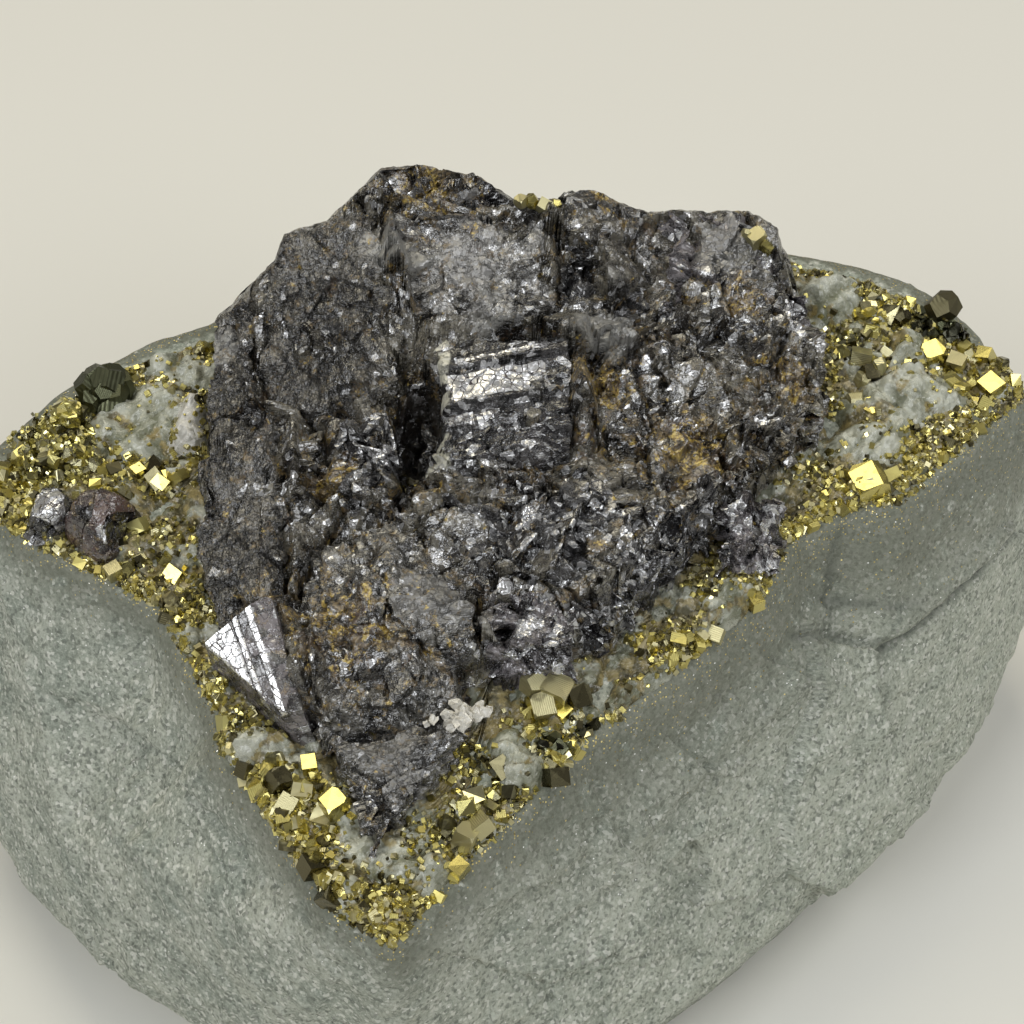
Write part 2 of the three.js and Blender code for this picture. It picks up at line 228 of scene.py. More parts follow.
def noise(points, size, seed=0, octaves=1):
    """Smooth noise from -1 to 1: the numbers at a cell's corners, blended by 3t^2 - 2t^3 along
    each axis. Each further octave is half as large and adds half as much."""
    total, share, whole = 0.0, 1.0, 0.0
    for octave in range(octaves):
        place = points / size + 17.3 * octave
        corner = np.floor(place)
        t = place - corner
        t = t * t * (3 - 2 * t)
        for step in itertools.product((0, 1), repeat=3):
            weight = np.prod(np.where(step, t, 1 - t), axis=-1)
            total = total + share * weight * (2 * scramble(corner + step, seed + octave)[..., 0] - 1)
        whole, share, size = whole + share, share / 2, size / 2
    return total / whole


def shards(points, size, seed):
    """For each point the nearest jittered lattice point: the way from it in millimetres, three
    random numbers that all points of the shard share, and how far the next shard is."""
    place = points / size
    corner = np.floor(place)
    near = np.full(place.shape[:-1], 1e9)
    second = near.copy()
    away, tag = np.zeros_like(place), np.zeros_like(place)
    for step in itertools.product((-1, 0, 1), repeat=3):
        cell = corner + step
        gap = place - cell - scramble(cell, seed)
        distance = (gap**2).sum(-1)
        closer = distance < near
        second = np.where(closer, near, np.minimum(second, distance))
        near = np.where(closer, distance, near)
        away = np.where(closer[..., None], gap, away)
        tag = np.where(closer[..., None], scramble(cell, seed + 1), tag)
    return away * size, tag, (np.sqrt(second) - np.sqrt(near)) * size


# %% [markdown]
# ## Surfaces as grids
# Every large piece is one closed skin on a grid of two parameters. The grid's points are
# directions from a centre inside the piece, and the shape is the distance to go in each
# direction. The whole border of the grid is one point, the pole underneath, so the skin closes.

# %% Turn a grid into a mesh
def closed_triangles(index):
    """Triangles of a grid of vertex numbers; those that shrink to a line at a pole are dropped."""
    a, b, c, d = index[:-1, :-1], index[1:, :-1], index[1:, 1:], index[:-1, 1:]
    pairs = [np.stack(t, axis=-1).reshape(-1, 3) for t in ((a, b, c), (a, c, d))]
    triangles = np.concatenate(pairs)
    flat = (triangles == np.roll(triangles, 1, axis=1)).any(axis=1)
    return triangles[~flat]


def new_piece(name, points, triangles, material, replaced=(), attributes=None, smooth=False):
    """Makes a mesh object from points in millimetres, outward normals and one material.
    Crystal faces are shaded flat; only worn stone is shaded smooth."""
    used, renumbered = np.unique(triangles, return_inverse=True)
    points, triangles = points[used], renumbered.reshape(-1, 3)
    a, b, c = (points[triangles[:, k]] for k in range(3))
    if (a * np.cross(b, c)).sum() < 0:
        triangles = triangles[:, ::-1]
    mesh = bpy.data.meshes.new(name)
    mesh.vertices.add(len(points))
    mesh.vertices.foreach_set("co", (points * MM).astype(np.float32).ravel())
    mesh.loops.add(3 * len(triangles))
    mesh.loops.foreach_set("vertex_index", triangles.astype(np.int32).ravel())
    mesh.polygons.add(len(triangles))
    mesh.polygons.foreach_set("loop_start", np.arange(0, 3 * len(triangles), 3, dtype=np.int32))
    mesh.polygons.foreach_set("use_smooth", np.full(len(triangles), smooth))
    mesh.update(calc_edges=True)
    for key, values in (attributes or {}).items():
        kind, field = ("FLOAT_VECTOR", "vector") if values.ndim == 2 else ("FLOAT", "value")
        layer = mesh.attributes.new(key, kind, "POINT")
        layer.data.foreach_set(field, values[used].astype(np.float32).ravel())
    mesh.materials.append(material)
    piece = bpy.data.objects.new(name, mesh)
    bpy.context.scene.collection.objects.link(piece)
    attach(piece, "root")
    if replaced:
        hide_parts(*replaced)
    print(f"{name}: {len(triangles)} triangles")
    return piece


def triangles_of(node):
    """Corner points (n, 3, 3) and outward unit normals (n, 3) of a CAD node, in millimetres."""
    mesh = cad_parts[node].data
    points = np.empty(3 * len(mesh.vertices))
    mesh.vertices.foreach_get("co", points)
    mesh.calc_loop_triangles()
    corners = np.empty(3 * len(mesh.loop_triangles), dtype=np.int32)
    mesh.loop_triangles.foreach_get("vertices", corners)
    solid = points.reshape(-1, 3)[corners].reshape(-1, 3, 3) / MM
    normals = np.cross(solid[:, 1] - solid[:, 0], solid[:, 2] - solid[:, 0])
    size = np.linalg.norm(normals, axis=1, keepdims=True)
    large = size[:, 0] > 1e-4
    return solid[large], normals[large] / size[large]


def planes_of(node, grow=0.0):
    """The planes n.p = reach that bound a convex CAD node, each once, moved out by grow."""
    solid, normals = triangles_of(node)
    reach = (normals * solid.mean(axis=1)).sum(axis=1)
    both = np.unique(np.round(np.column_stack([normals, reach]), 2), axis=0)
    return both[:, :3], both[:, 3] + grow


def way_out(directions, centre, planes, sharpness):
    """How far each direction goes from the centre before it leaves the planes, and which way the
    skin faces there. The least of (reach - n.centre) / (n.direction) is blended by a power mean,
    so a lower sharpness gives rounder edges; the facing is the same blend of the planes' normals."""
    normals, reach = planes
    share = np.maximum(directions @ (normals / (reach - normals @ centre)[:, None]).T, 1e-6)
    top = share.max(axis=-1, keepdims=True)
    weight = (share / top) ** sharpness
    distance = 1 / (top[..., 0] * weight.sum(axis=-1) ** (1 / sharpness))
    facing = weight @ normals
    return distance, facing / np.linalg.norm(facing, axis=-1, keepdims=True)


# %% [markdown]
# ## The outline of the vein face
# Vein and rock share a crisp edge along the front, where the chunk broke. Behind, a narrow
# strip of bare rock is left. The outlines are points in the plane of the vein face, in
# millimetres, and one function tells how far any place is past such an outline.

# %% The frame and the outline of the vein face
BED_TILT = math.atan(0.1)
BED_HEIGHT = 37.1
bed_axes = np.array([[1, 0, 0],
                     [0, math.cos(BED_TILT), math.sin(BED_TILT)],
                     [0, -math.sin(BED_TILT), math.cos(BED_TILT)]])
# The vein face is a kite: a tip at the front, a corner at each side. A bite is out of its right front
# edge, and its left front edge has one step. Only the corners are given, to half a millimetre.
FRONT_RIM = [(-7.5, -31.5), (5, -17), (18, -5), (21, 0.5), (24.5, 2.5), (28.5, 3), (39.5, 13.5)]
LEFT_RIM = [(-40, 3.5), (-34, -1), (-25, -6), (-22.5, -11), (-20, -15), (-20, -17), (-11.5, -29)]
VEIN = FRONT_RIM + [(38.5, 17), (31, 24), (20, 29), (10, 30.5), (-6, 30.5), (-14, 27), (-22, 20),
                    (-30.5, 16), (-34.5, 11.5), (-38, 6.5)] + LEFT_RIM
ROCK_RIM = FRONT_RIM + [(40, 16.5), (32, 25.5), (25, 29), (12, 31.5), (-6, 31.5), (-16, 27),
                        (-23, 21.5), (-32.5, 17), (-37, 11), (-41, 5)] + LEFT_RIM


def to_bed(points):
    """Row-frame millimetres to the vein face's own x, y and height."""
    return (points - [0, 0, BED_HEIGHT]) @ bed_axes.T


def from_bed(points):
    return points @ bed_axes + [0, 0, BED_HEIGHT]


def past_rim(x, y, outline):
    """How far a place is outside a closed outline, negative inside: the least distance to an edge,
    with a sign from how many edges a level line from the place crosses."""
    start = np.array(outline, dtype=float)
    edge = np.roll(start, -1, axis=0) - start
    px, py = x[..., None] - start[:, 0], y[..., None] - start[:, 1]
    along = np.clip((px * edge[:, 0] + py * edge[:, 1]) / (edge**2).sum(axis=1), 0, 1)
    near = np.hypot(px - along * edge[:, 0], py - along * edge[:, 1]).min(axis=-1)
    spans = (py < 0) != (py < edge[:, 1])
    crossed = spans & (px < py * edge[:, 0] / np.where(edge[:, 1] == 0, 1, edge[:, 1]))
    return np.where(crossed.sum(axis=-1) % 2 == 1, -near, near)


# %% [markdown]
# ## The host rock
# The stone is a broken chunk: flattish fracture faces, worn edges, and a fine even grain. Its
# skin is wrapped round like a label, with most of its rows on the sides and most of its columns
# at the front. The edges of the CAD chunk are rounded and its rim is cut back to the outline of
# the vein. Shards of a few sizes give the fracture faces, and smooth noise gives the wear.

# %% The finish of the host rock
def rock_finish():
    """Grey-green stone: clouds a few millimetres wide, a fine even grain, white glints, and a darker
    olive band along the rim with gold glitter in it. Painted light makes the lower right lighter, and
    painted shade darkens the cracks under the ledges."""
    finish = Finish("grey_green_rock")
    edge = finish.node("ShaderNodeAttribute", {"attribute_name": "edge"}, output=2)
    scar = finish.node("ShaderNodeAttribute", {"attribute_name": "scar"}, output=2)
    place = finish.node("ShaderNodeSeparateXYZ", None, {"Vector": finish.place})
    # Painted light: a mask that grows towards the lower right, where the stone is painted lighter.
    painted_light_low_right = (place - place.of("Z") + finish.noise(20, 2, 0.5) * 0.03).span(-0.03, 0.04)
    cloud = finish.noise(4.5, 3, 0.55)
    mottle = finish.noise(1.5, 3, 0.6)
    grain = finish.noise(0.30, 3, 0.7)
    speck = finish.cells(0.26)
    own = finish.node("ShaderNodeSeparateColor", None, {0: speck.of("Color")})
    base = finish.mix(cloud.span(0.3, 0.7), (0.262, 0.293, 0.243), (0.388, 0.408, 0.338))
    base = finish.mix(painted_light_low_right * 0.55, base, (0.47, 0.495, 0.40))
    base = finish.mix(mottle.span(0.50, 0.66) * 0.5, base, (0.47, 0.485, 0.42))
    base = finish.mix((1 - mottle).span(0.52, 0.66) * 0.45, base, (0.17, 0.19, 0.155))
    base = finish.mix(grain.span(0.5, 0.68) * 0.55, base, (0.60, 0.61, 0.53))
    base = finish.mix((1 - grain).span(0.5, 0.68) * 0.62, base, (0.12, 0.133, 0.108))
    base = finish.mix((own > 0.88) * 0.55, base, (0.70, 0.70, 0.63))
    base = finish.mix((own.of("Green") > 0.88) * 0.5, base, (0.07, 0.08, 0.065))
    base = finish.mix((edge * 1.3 * mottle.span(0.2, 0.5)).span(0, 0.9) * 0.75, base, (0.12, 0.125, 0.09))
    # Painted shade in the cracks under the ledges.
    base = finish.mix(scar * 0.75, base, (0.06, 0.068, 0.055))
    grit = finish.cells(0.19)
    lucky = finish.node("ShaderNodeSeparateColor", None, {0: grit.of("Color")})
    near = grit.of("Distance")
    flake = (lucky > 0.998 - edge ** 4.0 * 0.5) * near.math("LESS_THAN", 0.34) * edge.span(0.1, 0.35)
    base = finish.mix(flake, base, finish.mix(lucky.of("Blue"), (0.22, 0.17, 0.06), (0.85, 0.70, 0.28)))
    white = (lucky.of("Green") > 0.985) * near.math("LESS_THAN", 0.3)
    base = finish.mix(white, base, (0.90, 0.90, 0.86))
    rough = 0.85 - white * 0.65 - flake * 0.5
    normal = finish.bump(mottle * 0.5 + grain * 0.4 + own.of("Blue") * 0.12, 0.32, 1.0)
    return finish.shade(Base_Color=base, Roughness=rough, Metallic=flake * 0.9, Normal=normal)


rock = rock_finish()

# %% Wrap the rock
# Steps in the right side of the stone: each runs from one point to another, and the side above it
# stands proud by so much and fades over so far. A narrow crack runs along it, darkened by painted shade.
LEDGES = [((29.3, -1.3, 27.4), (40.5, 9.6, 27.6), 0.9, 8.0, 0.9),
          ((22.4, -3.6, 31.6), (29.3, -1.3, 27.4), 0.3, 3.0, 0.35),
          ((24.6, -0.3, 32.1), (29.6, 0.2, 30.3), -0.55, 2.6, 0.5),
          ((24.6, 0.9, 34.4), (24.6, -0.3, 32.1), -0.5, 3.0, 0.6),
          ((-33.0, -5.0, 27.0), (-19.0, -19.5, 31.0), 0.5, 7.0, 0.0)]


RIGHT_SIDE = np.array([0.60, -0.72, 0.34])  # the way the right side faces; the left side mirrors it


def ledge_height(points):
    """Proud height by each ledge: a smooth step across its line, an exponential fade above it, a
    smooth end past the line's two ends, and a crack exp(-(way below / 0.5)^2). The second result is
    the same crack as a share, which the finish darkens as painted shade."""
    proud, scar = np.zeros(points.shape[:-1]), np.zeros(points.shape[:-1])
    for start, end, height, reach, crack in LEDGES:
        start, end = np.array(start), np.array(end)
        outward = RIGHT_SIDE * [np.sign(start[0]), 1, 1]
        length = np.linalg.norm(end - start)
        way = (end - start) / length
        above = (points - start) @ np.cross(outward, way) + 0.5 * noise(points, 3.0, 61, 3)
        along = (points - start) @ way
        off_face = np.abs((points - start) @ outward)
        ends = np.clip(1.0 - np.maximum(-along, along - length) / 3.0, 0, 1)
        ends = ends * np.clip(2 - off_face / 6, 0, 1)
        step = height * np.clip(above / 0.5 + 0.5, 0, 1) * np.exp(-np.maximum(above, 0) / reach)
        line = np.exp(-(((above + 0.35) / 0.5) ** 2))
        proud += ends * (step - crack * line)
        scar = np.maximum(scar, ends * line * min(1, 1.3 * crack))
    return proud, scar


def wrapped_rock(columns=590, rows=166):
    """Directions from the middle of the stone: the lean from straight up follows the row, the side
    follows the column. The rounded way out of the CAD chunk is lowered past the rim by a slope,
    then moved in by fracture and wear."""
    column, row = np.linspace(0, 1, columns + 1), np.linspace(0, 1, rows + 1)
    side = np.interp(column, [0, 0.14, 0.86, 1], np.radians([90, 180, 360, 450]))
    lean = np.interp(row, [0, 0.12, 0.9, 1], np.radians([0, 48, 128, 180]))
    side, lean = np.meshgrid(side, lean, indexing="ij")
    directions = np.stack([np.sin(lean) * np.cos(side), np.sin(lean) * np.sin(side), np.cos(lean)], -1)
    centre = np.array([0.0, 0.0, 20.0])
    distance, _ = way_out(directions, centre, planes_of("host_rock"), sharpness=60)
    local = to_bed(centre + directions * distance[..., None])
    past = past_rim(local[..., 0], local[..., 1], ROCK_RIM)
    ragged = past + 0.35 * noise(local, 3.0, 31, 3)
    local[..., 2] = np.minimum(local[..., 2], -0.15 - 1.3 * np.maximum(ragged, 0))
    points = from_bed(local)
    depth = np.zeros(distance.shape)
    for size, cut, slope, seed in ((20, 0.8, 0.05, 3), (7, 0.30, 0.06, 5), (2.6, 0.14, 0.10, 8)):
        warp = np.stack([noise(points, size, seed + k) for k in range(3)], axis=-1)
        away, tag, _ = shards(points + 0.35 * size * warp, size, seed)
        depth += cut * tag[..., 0] + slope * (away * (2 * tag - 1)).sum(-1)
    depth += 0.7 * noise(points, 14, 11, 3) + 0.30 * noise(points, 3, 12, 3)
    depth += 0.13 * noise(points, 0.9, 13, 2)
    proud, scar = ledge_height(points)
    behind = np.clip((points[..., 1] - 16) / 8, 0, 1)
    depth = 0.55 + 0.9 * depth * (1 + 0.9 * behind) - proud
    under = np.clip((points[..., 2] - 0.2) / 3.0, 0, 1)
    outside = np.clip(past / 3.0, 0.12, 1)
    points = points - directions * (depth * under * outside)[..., None]
    reach = 1.5 + 3.3 * np.clip((points[..., 0] + 3) / 14, 0, 1)
    below = np.maximum(-local[..., 2] - 9, 0)
    edge = np.exp(-np.maximum(past, 0) / reach - below / 4) * (past > -1)
    index = np.arange(points[..., 0].size).reshape(columns + 1, rows + 1)
    index[-1] = index[0]
    index[:, 0] = index[0, 0]
    index[:, -1] = index[0, -1]
    return points.reshape(-1, 3), closed_triangles(index), {"edge": edge.ravel(), "scar": scar.ravel()}


points, triangles, attributes = wrapped_rock()
new_piece("rock", points, triangles, rock, ["host_rock"], attributes, smooth=True)

# %% [markdown]
# ## Sphalerite
# Sphalerite breaks along six cleavage planes, so a mass of it is a jumble of steps and flat chips
# that flash when they face the light. Each mass starts from its CAD body. Shards of a few sizes
# tilt towards the cleavage directions, small ones mostly the same way as the large one that they
# are part of, and saw-tooth steps cut the striated faces.

# %% Turns and ball grids
def turn(x, y, z):
    """Rotation matrix for turns in degrees about x, then y, then z."""
    (cx, sx), (cy, sy), (cz, sz) = ((math.cos(a), math.sin(a)) for a in np.radians([x, y, z]))
    about_x = np.array([[1, 0, 0], [0, cx, -sx], [0, sx, cx]])
    about_y = np.array([[cy, 0, sy], [0, 1, 0], [-sy, 0, cy]])
    about_z = np.array([[cz, -sz, 0], [sz, cz, 0], [0, 0, 1]])
    return about_z @ about_y @ about_x


CLEAVAGE = np.array([(1, 1, 0), (1, -1, 0), (1, 0, 1), (1, 0, -1),
                     (0, 1, 1), (0, 1, -1), (-1, -1, 0), (-1, 1, 0),
                     (-1, 0, -1), (-1, 0, 1), (0, -1, -1), (0, -1, 1)]) / math.sqrt(2)


def disc_grid(n):
    """A square grid laid on a disc: the larger coordinate is the share of the radius, the place
    round the square is the side. The border is gathered into one point."""
    u, v = np.meshgrid(np.linspace(-1, 1, n + 1), np.linspace(-1, 1, n + 1), indexing="ij")
    wide = np.abs(u) > np.abs(v)
    major, minor = np.where(wide, u, v), np.where(wide, v, u)
    part = math.pi / 4 * minor / np.where(major == 0, 1, major)
    side = np.where(wide, part, math.pi / 2 - part) + math.pi * (major < 0)
    index = np.arange((n + 1) ** 2).reshape(n + 1, n + 1)
    return np.abs(major), side, np.where(np.abs(major) > 1 - 1e-9, 0, index)


def ball_grid(n, top_share=0.82, top_lean=105):
    """The disc wrapped round a ball: the share of the radius sets the lean from the pole, and the
    border is the pole underneath. Most rows go to the upper side."""
    share, side, index = disc_grid(n)
    lean = np.radians(np.interp(share, [0, top_share, 1], [0, top_lean, 180]))
    local = np.stack([np.sin(lean) * np.cos(side), np.sin(lean) * np.sin(side), np.cos(lean)], axis=-1)
    return local @ bed_axes, index


# %% Chips, cracks and stains
CLEAN_SHARE = 0.42  # share of the middle-sized chips that stay clean
LOYAL = 0.6  # share of the small chips that lean the same way as the large one round them


def cleaved_depth(local, chips, steps, tilt, seed):
    """Chip depth = cut * random + lean * (way from the chip's middle . a cleavage direction), and a
    crack where two chips meet. Some chips of the second size stay smooth: the smaller ones count a
    fifth there. Step depth = depth * fractional part of (place . direction / spacing). The tone is
    a random number, whether the place is smooth, and how deep it is cut, which the finish darkens
    as painted shade."""
    cleavage = CLEAVAGE @ turn(*tilt).T
    depth, tone = np.zeros(local.shape[:-1]), np.zeros(local.shape)
    chosen, most, busy = 0, 0.0, 1.0
    for k, (size, cut, lean) in enumerate(chips):
        warp = np.stack([noise(local, size * 1.5, seed + 50 + j) for j in range(3)], axis=-1)
        away, tag, gap = shards(local + 0.2 * size * warp, size, seed + 7 * k)
        own = (tag[..., 1] * len(cleavage)).astype(int)
        chosen = own if k == 0 else np.where(tag[..., 2] < LOYAL, chosen, own)
        depth += busy * (cut * tag[..., 0] + lean * (away * cleavage[chosen]).sum(-1))
        depth += busy * 0.35 * cut * np.exp(-gap / (0.06 * size))
        tone += tag / len(chips)
        most += cut
        if k == 1:
            busy = np.where(tag[..., 2] < CLEAN_SHARE, 0.2, 1.0)
    tone[..., 2] = depth / (1.3 * most)
    tone[..., 1] = 1.25 * (1 - busy)
    for direction, spacing, cut, waver in steps:
        along = local @ (np.array(direction) / np.linalg.norm(direction))
        along = (along + waver * noise(local, 4.0, seed + 90, 2)) / spacing
        tread = along - np.floor(along)
        strength = 0.4 + 0.6 * scramble(np.stack([np.floor(along)] * 3, axis=-1), seed)[..., 0]
        depth += cut * tread * strength
    return depth + 0.015 * noise(local, 0.4, seed + 30, 2), tone


def ledged_depth(local, direction, edges, slope):
    """Treads between listed edges: slope * (how far past the tread's own front edge). The
    second result is that way as a share of the tread."""
    along = local @ (np.array(direction) / np.linalg.norm(direction)) + 0.18 * noise(local, 3.0, 81, 3)
    edges = np.array(edges)
    tread = np.clip(np.searchsorted(edges, along) - 1, 0, len(edges) - 2)
    past = along - edges[tread]
    return slope * past, past / (edges[tread + 1] - edges[tread])


def spots_on(shares):
    """A spot on each named sphalerite body: the middle of its box, moved across and along by these
    shares of the box, with a reach that is the third share times the box's shorter side."""
    spots = []
    for name, (across, along, reach) in shares.items():
        corners = to_bed(triangles_of("sphalerite_" + name)[0].reshape(-1, 3))[:, :2]
        low, high = corners.min(axis=0), corners.max(axis=0)
        x, y = (low + high) / 2 + (high - low) * (across, along)
        spots.append((x, y, reach * (high - low).min()))
    return spots


# Bodies that are stained brown, frosted grey or glossy: where on the body and how far it reaches.
RUSTY = spots_on({"front_dome": (-0.15, -0.1, 0.32), "summit": (0, -0.1, 0.6), "right_ledge": (-0.1, 0, 0.4),
                  "right_upper_block": (-0.2, -0.3, 0.25), "right_block": (0.1, -0.1, 0.2),
                  "back_right_plate": (0, -0.3, 0.16), "hollow_block": (0.3, 0, 0.35),
                  "left_flank": (0.3, -0.4, 0.15), "back_ridge": (0, 0.4, 0.15)})
FROSTED = spots_on({"grey_plate": (0, 0, 0.4), "back_right_plate": (-0.1, 0.15, 0.3),
                    "front_dome": (0.3, 0, 0.24), "front_tongue": (0, 0.1, 0.35),
                    "right_upper_block": (-0.2, 0.2, 0.3), "back_left_block": (0.3, 0.25, 0.2),
                    "upper_ledge": (0, 0, 0.9), "left_block": (0, -0.1, 0.35)})
GLOSSY = spots_on({"black_crystal": (0, 0, 0.6), "centre_ledge": (0, 0, 0.35), "right_block": (0, 0.4, 0.26),
                   "striated_crystal": (0, 0, 0.6), "violet_plate": (0, 0, 0.6),
                   "front_right_block": (0, 0, 0.34), "front_tongue": (-0.1, -0.4, 0.26),
                   "right_ledge": (0.1, 0.3, 0.35), "left_block": (0.2, 0.4, 0.6)})
# Small places of painted sheen, pale as metal: x, y and reach on the vein face.
PAINTED_SHEEN_SPOTS = [(-33.6, 1.6, 1.6), (22.0, 15.4, 1.1), (21.4, 17.4, 1.0), (-0.6, -7.6, 0.8), (4.2, -8.8, 0.7),
           (15.0, -2.0, 0.7), (-9.0, 3.6, 0.8), (1.2, -2.0, 0.6)]


def stain(local, spots):
    """0 to 1: the sum of exp(-(distance / reach)^2) over the spots."""
    total = 0.0
    for x, y, reach in spots:
        total = total + np.exp(-((local[..., 0] - x) ** 2 + (local[..., 1] - y) ** 2) / reach**2)
    return np.minimum(total, 1)


def stains_of(local):
    """Rust, frost and gloss as one vector, and painted sheen as a number, over the vein face."""
    return {"care": np.stack([stain(local, s) for s in (RUSTY, FROSTED, GLOSSY)], axis=-1).reshape(-1, 3),
            "silver": stain(local, PAINTED_SHEEN_SPOTS).ravel()}


# Hollows in the vein face: x, y, half width across and along, and depth.
HOLLOWS = [(-6.8, 5.5, 1.7, 3.8, 5.6), (-14.2, 4.6, 1.1, 2.6, 1.8), (-0.6, -9.8, 0.9, 1.2, 3.2),
           (12.6, 14.2, 1.1, 2.1, 3.2), (13.6, -1.6, 2.0, 1.2, 1.6), (6.0, 20.5, 1.2, 1.0, 2.2)]


# Seams that the groundmass fills higher: x, y, half width across and along, and lift.
SEAMS = [(-9.0, 17.0, 1.6, 6.0, 1.6), (2.6, 19.5, 1.5, 4.0, 1.0), (-14.1, -10.5, 1.1, 5.5, 1.3),
         (-5.2, -5.0, 3.2, 2.6, 1.2), (5.0, 7.0, 1.0, 4.5, 2.0), (-2.8, -12.0, 1.0, 2.5, 1.0)]


def hollow_depth(local):
    total = 0.0
    for x, y, half_x, half_y, deep in HOLLOWS:
        reach = ((local[..., 0] - x) / half_x) ** 2 + ((local[..., 1] - y) / half_y) ** 2
        total = total + deep * np.exp(-reach**2)
    return total


def filling(local):
    total = 0.0
    for x, y, half_x, half_y, lift in SEAMS:
        reach = ((local[..., 0] - x) / half_x) ** 2 + ((local[..., 1] - y) / half_y) ** 2
        total = total + lift * np.exp(-reach)
    return total


# The back edge of the sphalerite, left to right: a slope, a step to a flat shoulder, one long hump,
# a saddle, a low hump, a level stretch and a slope down. Each corner is x and the greatest height
# 27 mm behind the middle, to half a millimetre.
SKYLINE = [(-26, -7), (-19, 1), (-18, 4), (-14.5, 5), (-10, 10.5), (-7, 11), (-3, 10), (0.5, 7), (6, 8.5),
           (10.5, 6), (18.5, 6), (25, 1.5)]


def over_skyline(local):
    """How far a place is above the back edge. In front of the edge the limit rises by 0.95 and
    spreads by a hundredth for every millimetre, and noise makes it ragged."""
    x, limit = np.array(SKYLINE).T
    front = 27 - local[..., 1]
    limit = np.interp(local[..., 0] * (1 + 0.0095 * front), x, limit) + 0.95 * front
    return np.maximum(local[..., 2] - limit - 0.55 * noise(local, 1.4, 44, 3), 0)


def bed_planes(planes):
    """Planes given as upright or leaning normals and reaches on the vein face, in the row frame."""
    normals = np.array([normal for normal, _ in planes], dtype=float)
    normals /= np.linalg.norm(normals, axis=1)[:, None]
    normals, reach = normals @ bed_axes, np.array([reach for _, reach in planes])
    return normals, reach + normals @ [0, 0, BED_HEIGHT]


# Where the sphalerite ends against the quartz: a way on the vein face and how far along it.
LEFT_END, LEFT_SIDE, RIGHT_END = ((-0.954, -0.30, 0), 21.6), ((-1, 0, 0), 22.3), ((1, 0, 0), 23.3)
FRONT_END, SIDE_END = ((0.35, -0.937, 0), 11.6), ((0.763, -0.647, 0), 11.6)
TONGUE_ENDS = [((-0.93, -0.369, 0), 17.6), ((0.813, -0.583, 0), 7.8)]
TRIMMED = {"left_flank": [LEFT_END, LEFT_SIDE], "left_block": [LEFT_SIDE], "right_block": [RIGHT_END],
           "right_ledge": [RIGHT_END, SIDE_END], "violet_plate": [SIDE_END],
           "front_right_block": [FRONT_END, SIDE_END], "back_right_plate": [((0.9, 0.436, 0), 28.0)],
           "front_tongue": TONGUE_ENDS}


def cleaved_mass(node, n, chips, steps=(), tilt=(0, 0, 0), seed=1, grow=0.55, sharpness=60, wavy=0.22,
                 more_planes=None):
    """A CAD body's skin, cut back against the way it faces by chips, steps and hollows."""
    directions, index = ball_grid(n)
    solid, _ = triangles_of(node)
    centre = solid.reshape(-1, 3).mean(axis=0)
    planes = planes_of(node, grow)
    if more_planes is not None:
        planes = [np.concatenate(both) for both in zip(planes, more_planes)]
    ragged = np.stack([noise(6 * directions + seed, 2.1, k, 3) for k in range(3)], axis=-1)
    distance, facing = way_out(directions + wavy * ragged, centre, planes, sharpness)
    points = centre + directions * distance[..., None]
    local = to_bed(points)
    depth, tone = cleaved_depth(local, chips, steps, tilt, seed)
    depth = depth + hollow_depth(local)
    # Deeper hollows deepen the tone too, which the finish darkens as painted shade.
    tone[..., 2] += 0.5 * hollow_depth(local)
    points = points - facing * np.minimum(depth, 0.7 * distance)[..., None]
    points = points - bed_axes[2] * over_skyline(to_bed(points))[..., None]
    return points, index, tone, local


